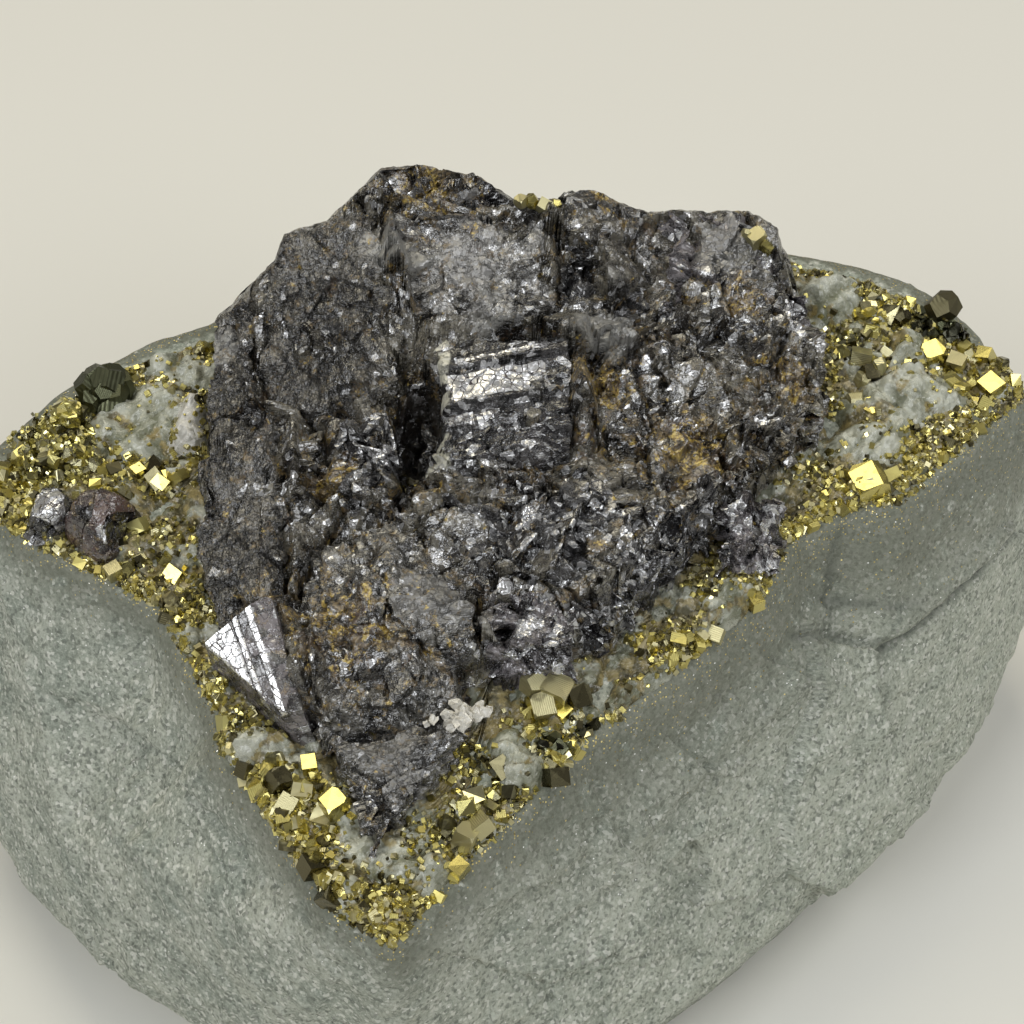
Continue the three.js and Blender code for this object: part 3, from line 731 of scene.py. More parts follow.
# %% The finishes of sphalerite
def sphalerite_finish(name, dark, pale, rusty=0.5, dull=0.24, streak=(0, 0, 0), streaky=0.5, tilt=0.35,
                      chip=0.6, frosty=(0.16, 0.155, 0.14), flash=0.03, relief=0.12):
    """Dark to pale by chip, streak and cloud, brown stains and amber grains in the rusty places, and
    a gloss that frost takes away. Painted shade darkens deep cuts and hollows, to near black in the
    deepest. Small cells that lean a little glitter; a few of them are painted pale grey and made metal
    as a painted flash, and in the places of painted sheen pale metal cells have dark red lines between."""
    finish = Finish(name)
    tone = finish.node("ShaderNodeAttribute", {"attribute_name": "tone"}).of("Vector")
    tone = finish.node("ShaderNodeSeparateXYZ", None, {"Vector": tone})
    care = finish.node("ShaderNodeAttribute", {"attribute_name": "care"}).of("Vector")
    care = finish.node("ShaderNodeSeparateXYZ", None, {"Vector": care})
    silver = finish.node("ShaderNodeAttribute", {"attribute_name": "silver"}, output=2)
    tidy, hollow_shade_and_rust, gloss = tone.of("Y"), tone.of("Z"), care.of("Z")
    domain = finish.noise(5.5, 2, 0.5)
    cloud = finish.noise(2.2, 3, 0.6)
    spots = finish.noise(1.1, 4, 0.7)
    fine = finish.noise(0.22, 2, 0.7)
    own = finish.node("ShaderNodeSeparateColor", None, {0: finish.cells(chip).of("Color")})
    crack = finish.noise(0.9, 3, 0.6)
    crack = (1 - (crack - 0.5).math("ABSOLUTE", 0) * 20).span(0.3, 0.9)
    streaks = finish.noise(0.36, 3, 0.7, at=finish.stretched(streak, (1, 1, 6.5)))
    pale_share = 0.5 + (tone - 0.5) * 1.7 + (domain - 0.5) * 1.6 + (cloud - 0.5) * 0.9 + (fine - 0.5) * 0.7
    # Painted shade: the last term darkens deep cuts and hollows.
    pale_share = pale_share + (streaks - 0.5) * streaky * 2.4 + (own.of("Blue") - 0.5) * 0.4 - hollow_shade_and_rust * 0.35
    base = finish.mix(pale_share.span(0.05, 0.95, kind="LINEAR"), dark, pale)
    frost = (care.of("Y") * 0.75 + cloud * 0.5 + fine * 0.3 - hollow_shade_and_rust * 0.4).span(0.55, 0.95)
    base = finish.mix(frost * 0.8, base, frosty)
    base = finish.mix(crack * 0.5, base, (0.005, 0.004, 0.003))
    rust = (care * 0.17 + spots + hollow_shade_and_rust * 0.08 + rusty - 0.5).span(0.60, 0.68)
    brown = finish.mix(cloud.span(0.4, 0.6), (0.070, 0.032, 0.013), (0.24, 0.165, 0.06))
    base = finish.mix(rust * 0.65, base, finish.mix(fine.span(0.35, 0.6), (0.03, 0.02, 0.010), brown))
    ochre = finish.noise(0.9, 4, 0.72, distortion=0.6)
    amber = (ochre + care * 0.08).span(0.580, 0.61) * rust
    ochre_tone = finish.mix(fine.span(0.35, 0.65), (0.18, 0.10, 0.02), (0.62, 0.47, 0.11))
    base = finish.mix(amber * 0.85, base, ochre_tone)
    net = finish.cells(0.7, "DISTANCE_TO_EDGE")
    # Painted sheen: pale metal cells in the sheen places, parted by a dark red net.
    bright = (silver * 1.4 + spots * 0.5 - 0.28).span(0.50, 0.60) * net.span(0.02, 0.05)
    base = finish.mix(silver.span(0.3, 0.6) * (1 - bright) * 0.8, base, (0.030, 0.012, 0.009))
    # Painted flash: a few cells, more in the glossy places, turn pale metal.
    flashing = (own > 1.0 - flash - gloss * 0.12) * (1 - rust) * (1 - frost * 0.7)
    # Painted shade: near black in the deepest cuts and hollows.
    base = finish.mix(hollow_shade_and_rust.span(0.9, 1.5) * 0.95, base, (0.004, 0.003, 0.002))
    # Painted flash and sheen: these cells are painted pale grey and made metallic.
    painted_flash_and_sheen = bright.math("MAXIMUM", flashing * 0.8)
    base = finish.mix(painted_flash_and_sheen, base, (0.70, 0.70, 0.70))
    rough = dull + frost * 0.2 + rust * 0.12 + (fine - 0.5) * 0.25
    rough = rough - gloss * 0.06 + bright * 0.12 - tidy * 0.03
    rough = rough.span(0.12, 0.8, 0.12, 0.8, "LINEAR")
    lean = tilt * (cloud.span(0.42, 0.58, 0.45, 1.1) + gloss * 0.3) * (1 - bright * 0.92) * (1 - tidy * 0.72)
    height = (fine * 0.3 + streaks * (0.3 + streaky) - crack * 0.6) * (1 - bright * 0.9) * (1 - tidy * 0.3)
    normal = finish.bump(height, relief, 0.9, finish.glints(chip, lean))
    return finish.shade(Base_Color=base, Roughness=rough, Metallic=painted_flash_and_sheen * 0.85, IOR=2.37,
                        Specular_IOR_Level=0.36, Normal=normal)


Y_WAY, X_WAY = (-90, 0, -8), (0, 90, 12)  # streaks along and across the vein face
dull_grey = sphalerite_finish(
    "dull_grey_sphalerite", (0.010, 0.009, 0.007), (0.120, 0.110, 0.090), rusty=0.51, dull=0.27,
    streak=Y_WAY, streaky=1.4, tilt=0.13, chip=0.45, flash=0.03, frosty=(0.34, 0.33, 0.30),
    relief=0.22)
pale_grey = sphalerite_finish(
    "pale_grey_sphalerite", (0.040, 0.037, 0.032), (0.36, 0.35, 0.325), rusty=0.52, dull=0.24,
    streak=(-60, 0, 30), streaky=0.5, tilt=0.46, chip=0.45, frosty=(0.30, 0.29, 0.272), flash=0.12,
    relief=0.22)
bright_black = sphalerite_finish(
    "bright_black_sphalerite", (0.006, 0.0055, 0.006), (0.105, 0.102, 0.100), rusty=0.46, dull=0.19,
    streak=X_WAY, streaky=0.4, tilt=0.36, chip=0.60, flash=0.13)
brown = sphalerite_finish(
    "brown_sphalerite", (0.008, 0.0065, 0.005), (0.170, 0.156, 0.122), rusty=0.525, dull=0.22,
    streak=X_WAY, streaky=0.6, tilt=0.34, chip=0.55, frosty=(0.25, 0.245, 0.225), flash=0.10)
domed = sphalerite_finish(
    "domed_sphalerite", (0.014, 0.013, 0.011), (0.19, 0.18, 0.155), rusty=0.505, dull=0.28,
    streak=X_WAY, streaky=0.4, tilt=0.36, chip=0.34, flash=0.07, relief=0.18)
violet = sphalerite_finish(
    "violet_grey_sphalerite", (0.016, 0.014, 0.015), (0.20, 0.182, 0.186), rusty=0.47, dull=0.19,
    streak=X_WAY, streaky=0.5, tilt=0.34, chip=0.65, flash=0.10)
purple = sphalerite_finish(
    "purple_brown_sphalerite", (0.012, 0.007, 0.006), (0.10, 0.064, 0.055), rusty=0.48, dull=0.20,
    tilt=0.22, chip=1.3, flash=0.02)
layered = sphalerite_finish(
    "layered_sphalerite", (0.005, 0.0045, 0.0045), (0.060, 0.056, 0.056), rusty=0.42, dull=0.19,
    streak=X_WAY, streaky=0.8, tilt=0.30, chip=0.5, frosty=(0.64, 0.62, 0.50), flash=0.16)

# %% Build the sphalerite masses
FINE = 1.0
HACKLY = ((5.0, 1.1, 0.42), (2.1, 0.50, 0.48), (0.8, 0.15, 0.42))
COARSE = ((5.2, 1.0, 0.34), (2.5, 0.40, 0.40), (1.0, 0.12, 0.34))
FLAT = ((6.0, 0.35, 0.08), (2.6, 0.18, 0.16), (1.0, 0.06, 0.14), (0.45, 0.02, 0.12))
CLEAN = ((6.0, 0.20, 0.03), (2.4, 0.08, 0.04))
ROUNDED = ((3.2, 0.14, 0.20), (1.5, 0.06, 0.14))
masses = [
    ("back_left_block", 200, FLAT, [((0.9, 0.1, 0.4), 0.8, 0.12, 1.0)], (10, 5, 20), dull_grey),
    ("grey_plate", 150, FLAT, [], (0, 10, 30), pale_grey),
    ("summit", 150, HACKLY, [], (20, 10, 40), bright_black),
    ("upper_ledge", 90, COARSE, [], (0, 0, 10), brown),
    ("back_ridge", 140, COARSE, [], (15, 0, 10), bright_black),
    ("back_right_plate", 150, COARSE, [], (0, 20, 50), violet),
    ("right_upper_block", 140, HACKLY, [], (30, 0, 15), brown),
    ("right_block", 140, COARSE, [((0.2, 1, 0.5), 1.2, 0.25, 0.8)], (0, 30, 15), brown),
    ("right_ledge", 160, HACKLY, [((0.1, 1, 0.6), 1.1, 0.3, 0.8)], (0, 0, 0), brown),
    ("centre_ledge", 170, HACKLY, [((0, 1, 0.5), 1.0, 0.3, 0.7)], (0, 10, 0), bright_black),
    ("front_right_block", 160, HACKLY, [], (20, 20, 0), bright_black),
    ("striated_crystal", 110, FLAT, [((0.5, 1, 0), 0.5, 0.12, 0.1)], (0, 0, 0), violet),
    ("violet_plate", 90, COARSE, [], (0, 0, 30), violet),
    ("front_dome", 200, FLAT, [], (10, 10, 10), domed),
    ("front_tongue", 140, FLAT, [], (0, 10, 30), domed),
    ("black_crystal", 110, COARSE, [((1, 0.3, 0), 0.8, 0.2, 0.2)], (0, 0, 35), bright_black),
    ("hollow_block", 110, COARSE, [((1, 0, 0), 0.8, 0.2, 0.3)], (0, 0, 0), brown),
    ("left_flank", 180, FLAT, [((1, 0.1, 0), 1.1, 0.35, 0.5)], (0, 0, 5), dull_grey),
    ("left_block", 130, FLAT, [((0.9, 0.2, 0), 0.7, 0.14, 0.4)], (0, 0, 0), dull_grey),
    ("round_crystal", 110, ROUNDED, [], (0, 0, 0), purple),
    ("tip_crystal", 90, ROUNDED, [], (0, 0, 0), bright_black),
]
ROUND = {"round_crystal", "tip_crystal"}
LOWERED = {"summit": 0.0, "back_ridge": 0.1, "back_right_plate": 0.1, "back_left_block": 0.3,
           "grey_plate": 0.4}
for number, (name, n, chips, steps, tilt, finish) in enumerate(masses):
    node = "sphalerite_" + name
    trim = bed_planes(TRIMMED[name]) if name in TRIMMED else None
    sharpness, wavy = (8, 0.06) if name in ROUND else (60, 0.22)
    points, index, tone, local = cleaved_mass(
        node, int(n * FINE), chips, steps, tilt, seed=100 + 13 * number, sharpness=sharpness,
        wavy=wavy, more_planes=trim, grow=LOWERED.get(name, 0.55))
    new_piece(name, points.reshape(-1, 3), closed_triangles(index), finish, [node],
              {"tone": tone.reshape(-1, 3), **stains_of(local)})

# %% [markdown]
# ## The twin crystal
# Near the left edge one crystal keeps its growth faces: a face with painted sheen lined with dark
# grooves, and a dull three-cornered one, which meet in a straight ridge. The two faces are planes
# laid through points on the ridge, added to the planes of the CAD body.

# %% Build the twin crystal
RIDGE_TOP, RIDGE_END = np.array([-17.4, -10.0, 5.6]), np.array([-15.2, -15.5, 3.4])
BRIGHT_CORNER, DULL_CORNER = np.array([-20.7, -11.2, 3.6]), np.array([-13.9, -11.7, 4.8])
GROOVES = [(0.45, 1.25), (1.55, 1.75)]  # from the ridge, in millimetres


def plane_through(a, b, c):
    """Upward unit normal of three points, and its reach n.a."""
    normal = np.cross(b - a, c - a)
    normal *= np.sign(normal[2]) / np.linalg.norm(normal)
    return normal, normal @ a


def twin_crystal(n):
    """The body is cut by two more planes. On the bright face the place is its distance from the
    ridge, and grooves are lower there."""
    faces = [plane_through(RIDGE_TOP, RIDGE_END, corner) for corner in (BRIGHT_CORNER, DULL_CORNER)]
    normals = np.array([face[0] for face in faces])
    reach = np.array([face[1] for face in faces])
    row_normals = normals @ bed_axes
    row_reach = reach + row_normals @ [0, 0, BED_HEIGHT]
    sides = bed_planes([((-0.687, -0.727, 0), 22.3), ((-0.47, 0.883, 0), -0.1)])
    planes = [np.concatenate(both) for both in zip((row_normals, row_reach), sides)]
    points, index, tone, local = cleaved_mass(
        "sphalerite_twin_crystal", n, ((0.9, 0.03, 0.02),), seed=77, grow=1.0, sharpness=150,
        wavy=0.03, more_planes=planes)
    ridge = (RIDGE_END - RIDGE_TOP) / np.linalg.norm(RIDGE_END - RIDGE_TOP)
    across = np.cross(normals[0], ridge)
    across *= np.sign(across @ (BRIGHT_CORNER - RIDGE_TOP))
    from_ridge = (local - RIDGE_TOP) @ across
    above = local @ normals.T - reach
    on_bright = (np.abs(above[..., 0]) < 0.25) & (from_ridge > 0)
    groove = np.zeros(from_ridge.shape)
    for start, end in GROOVES:
        past_start = np.clip((from_ridge - start) / 0.08, 0, 1)
        before_end = np.clip((end - from_ridge) / 0.08, 0, 1)
        groove = np.maximum(groove, past_start * before_end)
    points = points - (0.14 * groove * on_bright)[..., None] * row_normals[0]
    tone[..., 1] = 1.0
    # Painted sheen on the bright face between its grooves, as pale metal cells with a dark red net.
    silver = np.where(on_bright, 1 - groove, 0.0)
    attributes = {"tone": tone.reshape(-1, 3), **stains_of(local)}
    attributes["silver"] = silver.ravel()
    attributes["care"][:, 1] = 0.5 * (1 - silver.ravel())
    return points.reshape(-1, 3), closed_triangles(index), attributes


points, triangles, attributes = twin_crystal(int(150 * FINE))
new_piece("twin_crystal", points, triangles, violet, ["sphalerite_twin_crystal"], attributes)

# %% [markdown]
# ## The layered crystal
# In the middle stands a stack of plates with bands of painted sheen, each one stepped back behind
# the other, with dark red grooves between them and a cream crust on its left side, next to a deep
# cavity that painted shade makes black.

# %% Build the layered crystal
ACROSS = (-0.26, 0.965, 0)
PLATE_EDGES = [-3.0, 0.2, 1.1, 2.0, 2.9, 3.8, 4.6, 5.2, 6.75, 9.6, 14.0]
# Bands of painted sheen: start and end along the plates, start and end across them, and how bright.
PAINTED_SHEEN_BANDS = [(-2.4, 4.9, 6.95, 9.3, 1.0), (-1.0, 0.3, 5.4, 6.1, 1.0), (-3.3, -1.0, 5.4, 6.5, 0.42),
                (-1.5, 5.0, 9.75, 10.3, 0.6), (1.6, 4.1, 4.72, 5.05, 1.0), (1.0, 3.0, 3.0, 3.25, 0.9),
                (-3.0, 0.5, 2.1, 2.3, 0.9)]


def layered_crystal(n):
    """The CAD body with plates cut at the listed edges. The bands of painted sheen are boxes along and
    across the plates with edges 0.15 mm soft."""
    points, index, tone, local = cleaved_mass("sphalerite_centre_crystal", n, CLEAN, seed=60, wavy=0.10)
    depth, share = ledged_depth(local, ACROSS, PLATE_EDGES, 0.21)
    lower = 0.5 * np.clip((6.8 - local @ ACROSS) / 0.2, 0, 1)
    lower = lower + 0.3 * np.clip((10.4 - local @ ACROSS) / -0.3, 0, 1)
    rough, _ = cleaved_depth(local, FLAT, [], (0, 0, 17), 61)
    calm = np.clip((local @ ACROSS - 5.2) / 0.5, 0, 1)
    depth = depth + lower + rough * (1 - 0.85 * calm)
    points = points - np.minimum(depth, 4)[..., None] * bed_axes[2]
    along = local @ [ACROSS[1], -ACROSS[0], 0] + 0.25 * noise(local, 1.5, 62, 2)
    across = local @ ACROSS + 0.12 * noise(local, 1.2, 63, 2)
    # Painted sheen on the bands, as pale metal cells with a dark red net.
    silver = np.zeros(along.shape)
    for start, end, low, high, amount in PAINTED_SHEEN_BANDS:
        inside = np.minimum(np.minimum(along - start, end - along), np.minimum(across - low, high - across))
        silver = np.maximum(silver, amount * np.clip(inside / 0.15, 0, 1))
    tone[..., 1] = 0.0
    attributes = {"tone": tone.reshape(-1, 3), **stains_of(local)}
    attributes["silver"] = (silver * (share < 0.93)).ravel()
    mottled = np.clip(0.7 + 2.5 * noise(local, 0.8, 65, 2), 0, 1)
    attributes["care"][:, 1] = (mottled * np.clip((-4.1 - local[..., 0]) / 0.5, 0, 1.4)).ravel()
    return points.reshape(-1, 3), closed_triangles(index), attributes


points, triangles, attributes = layered_crystal(int(220 * FINE))
new_piece("layered_crystal", points, triangles, layered,
          ["sphalerite_centre_crystal"], attributes)

# %% [markdown]
# ## The groundmass between the crystals
# The big masses are grown together, with smaller broken sphalerite in every seam. One height
# surface over the vein face fills the seams: it is the union of the swollen masses, let down a
# little, and cut into small chips.

# %% Build the groundmass
def height_under(x, y, nodes, grow, slope=99.0):
    """The highest top of the swollen CAD bodies over each place of the vein face, and which body it
    is. In each body the top is the least of (reach - nx x - ny y) / nz over its upper planes; past
    a side plane it falls by the slope times the distance."""
    best, which = np.full(x.shape, -9.0), np.full(x.shape, -1)
    for number, node in enumerate(nodes):
        normals, reach = planes_of(node, grow)
        reach = reach - normals @ [0, 0, BED_HEIGHT]
        normals = normals @ bed_axes.T
        top, past = np.full(x.shape, 99.0), np.zeros(x.shape)
        for (nx, ny, nz), far in zip(normals, reach):
            if nz > 0.45:
                top = np.minimum(top, (far - nx * x - ny * y) / nz)
            elif nz > -0.5:
                past = np.maximum(past, (nx * x + ny * y - far) / math.hypot(nx, ny))
        top = np.maximum(top - slope * past, -9)
        which = np.where(top > best, number, which)
        best = np.maximum(best, top)
    return best, which


LOOSE = {"round_crystal", "tip_crystal"}  # these two stand apart from the rest
grown_together = [name for name, *_ in masses if name not in LOOSE] + ["twin_crystal", "centre_crystal"]
CALM = ["sphalerite_" + name for name in ("back_left_block", "grey_plate", "left_flank", "left_block",
                                          "centre_crystal", "twin_crystal", "front_dome")]
sphalerite_nodes = ["sphalerite_" + name for name in grown_together]
GROUND_MIDDLE = np.array([0.5, 3.0])


def stretched_disc(n, reach_of):
    """A disc grid whose rim lies at reach_of(sides) from the middle of the face."""
    share, side, index = disc_grid(n)
    sides = np.linspace(-math.pi, 2 * math.pi, 541)
    radius = np.interp(side, sides, reach_of(sides))
    x = GROUND_MIDDLE[0] + share * radius * np.cos(side)
    y = GROUND_MIDDLE[1] + share * radius * np.sin(side)
    return x, y, index


def farthest(sides, is_in, past=0.0):
    """The farthest place along each ray from the middle that is in, and a little past that."""
    reach = np.linspace(1, 46, 300)
    x = GROUND_MIDDLE[0] + np.cos(sides)[:, None] * reach
    y = GROUND_MIDDLE[1] + np.sin(sides)[:, None] * reach
    found = is_in(x, y)
    return reach[found.shape[1] - 1 - np.argmax(found[:, ::-1], axis=1)] + past


def way_in(x, y):
    """How far inside the left, right and front ends of the sphalerite a place is. The ends of the
    tongue count only at the front."""
    def inside(ends):
        ways = [reach - (x * nx + y * ny) / math.hypot(nx, ny) for (nx, ny, _), reach in ends]
        return np.min(ways, axis=0)
    tongue = inside(TONGUE_ENDS) + np.maximum(y + 17, 0)
    return np.minimum(inside([LEFT_END, LEFT_SIDE, RIGHT_END, FRONT_END, SIDE_END]), tongue)


def groundmass(n):
    """A round sheet stretched to the outline of the masses; its border is one point below."""
    x, y, index = stretched_disc(n, lambda sides: farthest(
        sides, lambda x, y: (height_under(x, y, sphalerite_nodes, 0.6)[0] > 0.2) & (way_in(x, y) > 0)))
    wave = np.stack([x, y, 0 * x], axis=-1)
    height, _ = height_under(x + 0.4 * noise(wave, 3.4, 301, 1), y + 0.4 * noise(wave, 3.4, 302, 1),
                             sphalerite_nodes, 0.6, slope=1.1)
    inner, _ = height_under(x, y, CALM, -0.5, slope=1.2)
    calm = np.clip((inner - height + 2.4) / 1.2, 0, 1)
    height = np.minimum(height - 0.1 - 0.9 * calm, 0.4 + 2.0 * way_in(x, y))
    local = np.stack([x, y, height], axis=-1)
    depth, tone = cleaved_depth(local, COARSE, [], (10, 20, 30), 303)
    # Deeper hollows deepen the tone too, which the finish darkens as painted shade.
    tone[..., 2] += 0.5 * hollow_depth(local)
    local[..., 2] = height - depth - hollow_depth(local) + filling(local)
    local[..., 2] = np.maximum(local[..., 2] - over_skyline(local), -0.8)
    attributes = {"tone": tone.reshape(-1, 3), **stains_of(local)}
    local[0, 0] = (*GROUND_MIDDLE, -6)
    return from_bed(local).reshape(-1, 3), closed_triangles(index), attributes


points, triangles, attributes = groundmass(int(300 * FINE))
new_piece("sphalerite_groundmass", points, triangles, brown, (), attributes)

# %% [markdown]
# ## Small crystals and grains
# Pyrite grows as cubes and as pyritohedra, bodies with twelve five-sided faces. Each small crystal
# is a copy of one form with its own place, size and turn, and thousands are made by one array
# product. Broken chips are the same, with their corners moved about.

# %% Small crystal forms
def form(corners, normals):
    """Corner points and triangles of a convex form: each face is the corners farthest along its
    normal, put in order of their angle about the normal, and cut into a fan."""
    corners, triangles = np.array(corners, dtype=float), []
    for normal in np.array(normals, dtype=float):
        normal = normal / np.linalg.norm(normal)
        reach = corners @ normal
        face = np.flatnonzero(reach > reach.max() - 1e-6)
        middle_point = corners[face].mean(axis=0)
        side = corners[face[0]] - middle_point
        other = np.cross(normal, side)
        away = corners[face] - middle_point
        order = face[np.argsort(np.arctan2(away @ other, away @ side))]
        triangles += [(order[0], order[k], order[k + 1]) for k in range(1, len(order) - 1)]
    return corners / np.abs(corners).max(), np.array(triangles)


def signs(*magnitudes):
    """Every point whose coordinates have these magnitudes, in the three cyclic orders."""
    made = {tuple(np.roll([s * m for s, m in zip(sign, magnitudes)], k))
            for sign in itertools.product((-1, 1), repeat=3) for k in range(3)}
    return sorted(made)


cube = form(signs(1, 1, 1), signs(1, 0, 0))
pyritohedron = form(signs(1, 1, 1) + signs(0, 1.5, 0.75), signs(0, 1, 2))
blunt_cube = form(signs(1, 1, 0.62), signs(1, 0, 0) + signs(1, 1, 1))


def random_turns(count, random):
    """Rotation matrices from random unit quaternions."""
    w, x, y, z = (q := random.normal(size=(4, count))) / np.linalg.norm(q, axis=0)
    rows = [[1 - 2 * (y * y + z * z), 2 * (x * y - w * z), 2 * (x * z + w * y)],
            [2 * (x * y + w * z), 1 - 2 * (x * x + z * z), 2 * (y * z - w * x)],
            [2 * (x * z - w * y), 2 * (y * z + w * x), 1 - 2 * (x * x + y * y)]]
    return np.moveaxis(np.array(rows), -1, 0)


def scatter(shape, places, sizes, random, stretch=0.0, turns=None, ragged=0.0, tones=None):
    """Copies of a form: place + half its size * turn @ (corner * stretch). Returns the points, the
    triangles, each corner's own coordinates in millimetres and three numbers per crystal."""
    corners, triangles = shape
    count = len(places)
    turns = random_turns(count, random) if turns is None else turns
    scale = 0.5 * np.asarray(sizes)[:, None, None] * (1 + stretch * random.uniform(-1, 1, (count, 1, 3)))
    own = (corners[None] + ragged * random.uniform(-1, 1, (count, len(corners), 3))) * scale
    points = places[:, None] + np.einsum("nij,nkj->nki", turns, own)
    index = triangles[None] + len(corners) * np.arange(count)[:, None, None]
    tones = random.uniform(size=(count, 3)) if tones is None else tones
    tone = np.repeat(tones[:, None], len(corners), axis=1)
    return points.reshape(-1, 3), index.reshape(-1, 3), own.reshape(-1, 3), tone.reshape(-1, 3)


def join(groups):
    """Several scatters as one: vertex numbers move up by what came before."""
    start = np.cumsum([0] + [len(g[0]) for g in groups[:-1]])
    triangles = np.concatenate([g[1] + s for g, s in zip(groups, start)])
    return [np.concatenate([g[0] for g in groups]), triangles,
            np.concatenate([g[2] for g in groups]), np.concatenate([g[3] for g in groups])]


PAST_THE_RIM = {"pyrite_edge_grains"}  # its CAD body stands on the rock just outside the vein's rim


def way_to_middle(local):
    """Level unit steps from these places towards the middle of the vein."""
    away = np.array(GROUND_MIDDLE) - local[:, :2]
    return away / np.linalg.norm(away, axis=1)[:, None]


def seats(node, count, random, sink):
    """Random places on a CAD body's upper faces, evenly by area, sunk below them by `sink`. Only
    those inside the vein are kept; the area is returned too. The grains of a body that stands past
    the rim are first drawn in to it: up to sixty times, each that is less than a freshly drawn 0.3
    to 1.7 mm inside moves 0.1 mm towards the middle of the vein. Most end near the deeper limit."""
    solid, normals = triangles_of(node)
    lift = normals @ bed_axes[2]
    solid = solid[lift > 0.15]
    area = np.linalg.norm(np.cross(solid[:, 1] - solid[:, 0], solid[:, 2] - solid[:, 0]), axis=1) / 2
    chosen = solid[random.choice(len(solid), count, p=area / area.sum())]
    a, b = random.uniform(size=(2, count, 1))
    a, b = np.where(a + b > 1, 1 - a, a), np.where(a + b > 1, 1 - b, b)
    places = chosen[:, 0] + a * (chosen[:, 1] - chosen[:, 0]) + b * (chosen[:, 2] - chosen[:, 0])
    places = places - bed_axes[2] * np.asarray(sink)[:, None]
    local = to_bed(places)
    if node in PAST_THE_RIM:
        for _ in range(60):
            past = past_rim(local[:, 0], local[:, 1], VEIN) > -0.3 - 1.4 * random.uniform(size=count)
            local[past, :2] += 0.1 * way_to_middle(local[past])
        places = from_bed(local)
    return places, past_rim(local[:, 0], local[:, 1], VEIN) < -0.1 - 0.9 * np.asarray(sink), area.sum()


# %% [markdown]
# ## Quartz
# Milky quartz is the bed that everything else in the vein sits in. It is a continuous glassy,
# sugary crust, so it is made as one lumpy sheet under the whole face, with a thicker lump at each
# place where the CAD model has one. Rounded cells of a few sizes give the lumps.

# %% The finish of quartz
def quartz_finish():
    """Glassy grains: grey where they are clear, milky on their tops and lumps, with rusty seams and
    dark hollows where they are thin."""
    finish = Finish("milky_quartz")
    tone = finish.node("ShaderNodeAttribute", {"attribute_name": "tone"}).of("Vector")
    tone = finish.node("ShaderNodeSeparateXYZ", None, {"Vector": tone})
    milk = finish.node("ShaderNodeAttribute", {"attribute_name": "milk"}, output=2)
    cloud = finish.noise(1.8, 4, 0.6)
    fine = finish.noise(0.3, 2, 0.7)
    clearness = cloud * 1.2 + fine * 0.25 + tone * 0.3 - tone.of("Z") * 0.6 + milk * 0.12
    grain = finish.cells(0.8)
    own = finish.node("ShaderNodeSeparateColor", None, {0: grain.of("Color")})
    clearness = clearness + (own - 0.5) * 0.35
    base = finish.mix(clearness.span(0.35, 1.1), (0.23, 0.24, 0.16), (0.66, 0.67, 0.56))
    seam = finish.noise(3.0, 4, 0.65) + tone.of("Z") * 0.15 - milk * 0.10
    dark = finish.noise(1.0, 3, 0.65)
    base = finish.mix(seam.span(0.50, 0.57) * 0.8, base,
                      finish.mix(dark.span(0.42, 0.58), (0.11, 0.085, 0.03), (0.42, 0.33, 0.13)))
    base = finish.mix((1 - dark - milk * 0.08).span(0.55, 0.66) * 0.5, base, (0.14, 0.14, 0.09))
    base = finish.mix((milk - 1.0).span(0.1, 0.5), base, (0.86, 0.83, 0.74))
    rough = 0.10 + cloud * 0.25 + fine * 0.1
    normal = finish.bump(fine * 0.25 + finish.noise(0.8, 2, 0.6) * 0.8, 0.22, 0.9, finish.glints(0.7, 0.34))
    return finish.shade(Base_Color=base, Roughness=rough, IOR=1.54, Transmission_Weight=0.35, Normal=normal)


milky = quartz_finish()


# %% Build the quartz bed
def sugary(local, seed):
    """Rounded cells: each size adds its rise times (1 - 3 (way from the cell's middle / size)^2),
    never less than -1, and the sizes get smaller. The tone is random in each cell."""
    height, tone = np.zeros(local.shape[:-1]), np.zeros(local.shape)
    for k, (size, rise) in enumerate(((2.6, 0.40), (1.3, 0.22), (0.6, 0.07))):
        warp = np.stack([noise(local, size * 1.5, seed + 50 + j) for j in range(3)], axis=-1)
        away, tag, _ = shards(local + 0.3 * size * warp, size, seed + 5 * k)
        bulge = np.maximum(1 - 3 * (away**2).sum(-1) / size**2, -1)
        height += rise * (bulge + tag[..., 0] - 0.5)
        tone += tag / 3
    tone[..., 2] = np.clip(0.5 - height, 0, 1)
    return height + 0.04 * noise(local, 0.3, seed + 40, 2), tone


quartz_nodes = sorted(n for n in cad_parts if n.startswith("quartz_"))
pyrite_nodes = sorted(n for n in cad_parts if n.startswith("pyrite_"))


def bed_surface(x, y):
    """Height, tone and milkiness of the quartz: a wave, the lumps of the CAD model with gentle
    sides, rounded grains over all, and a dip under the rock at the rim."""
    flat = np.stack([x, y, 0 * x], axis=-1)
    grains, tone = sugary(flat, 640)
    moved_x, moved_y = x + 0.8 * noise(flat, 2.2, 655, 2), y + 0.8 * noise(flat, 2.2, 656, 2)
    lump, which = height_under(moved_x, moved_y, quartz_nodes, 0.2, slope=0.9)
    under, _ = height_under(moved_x, moved_y, pyrite_nodes, 0.0, slope=0.8)
    height = np.maximum(0.2 + 0.3 * noise(flat, 5, 650, 2), np.maximum(lump - 0.25, 0.62 * under - 0.1))
    inside = np.clip(-past_rim(x, y, VEIN) / 1.1, 0, 1)
    height = (height + grains) * inside - 1.0 * (1 - inside) ** 2
    milk = np.clip(lump + 0.4, 0, 1) * (lump > under - 0.4)
    white_vein = which == quartz_nodes.index("quartz_white_vein")
    milk = np.where(white_vein, 2 * np.clip(2 * lump - 0.6, 0, 1), milk)
    return height, tone, milk


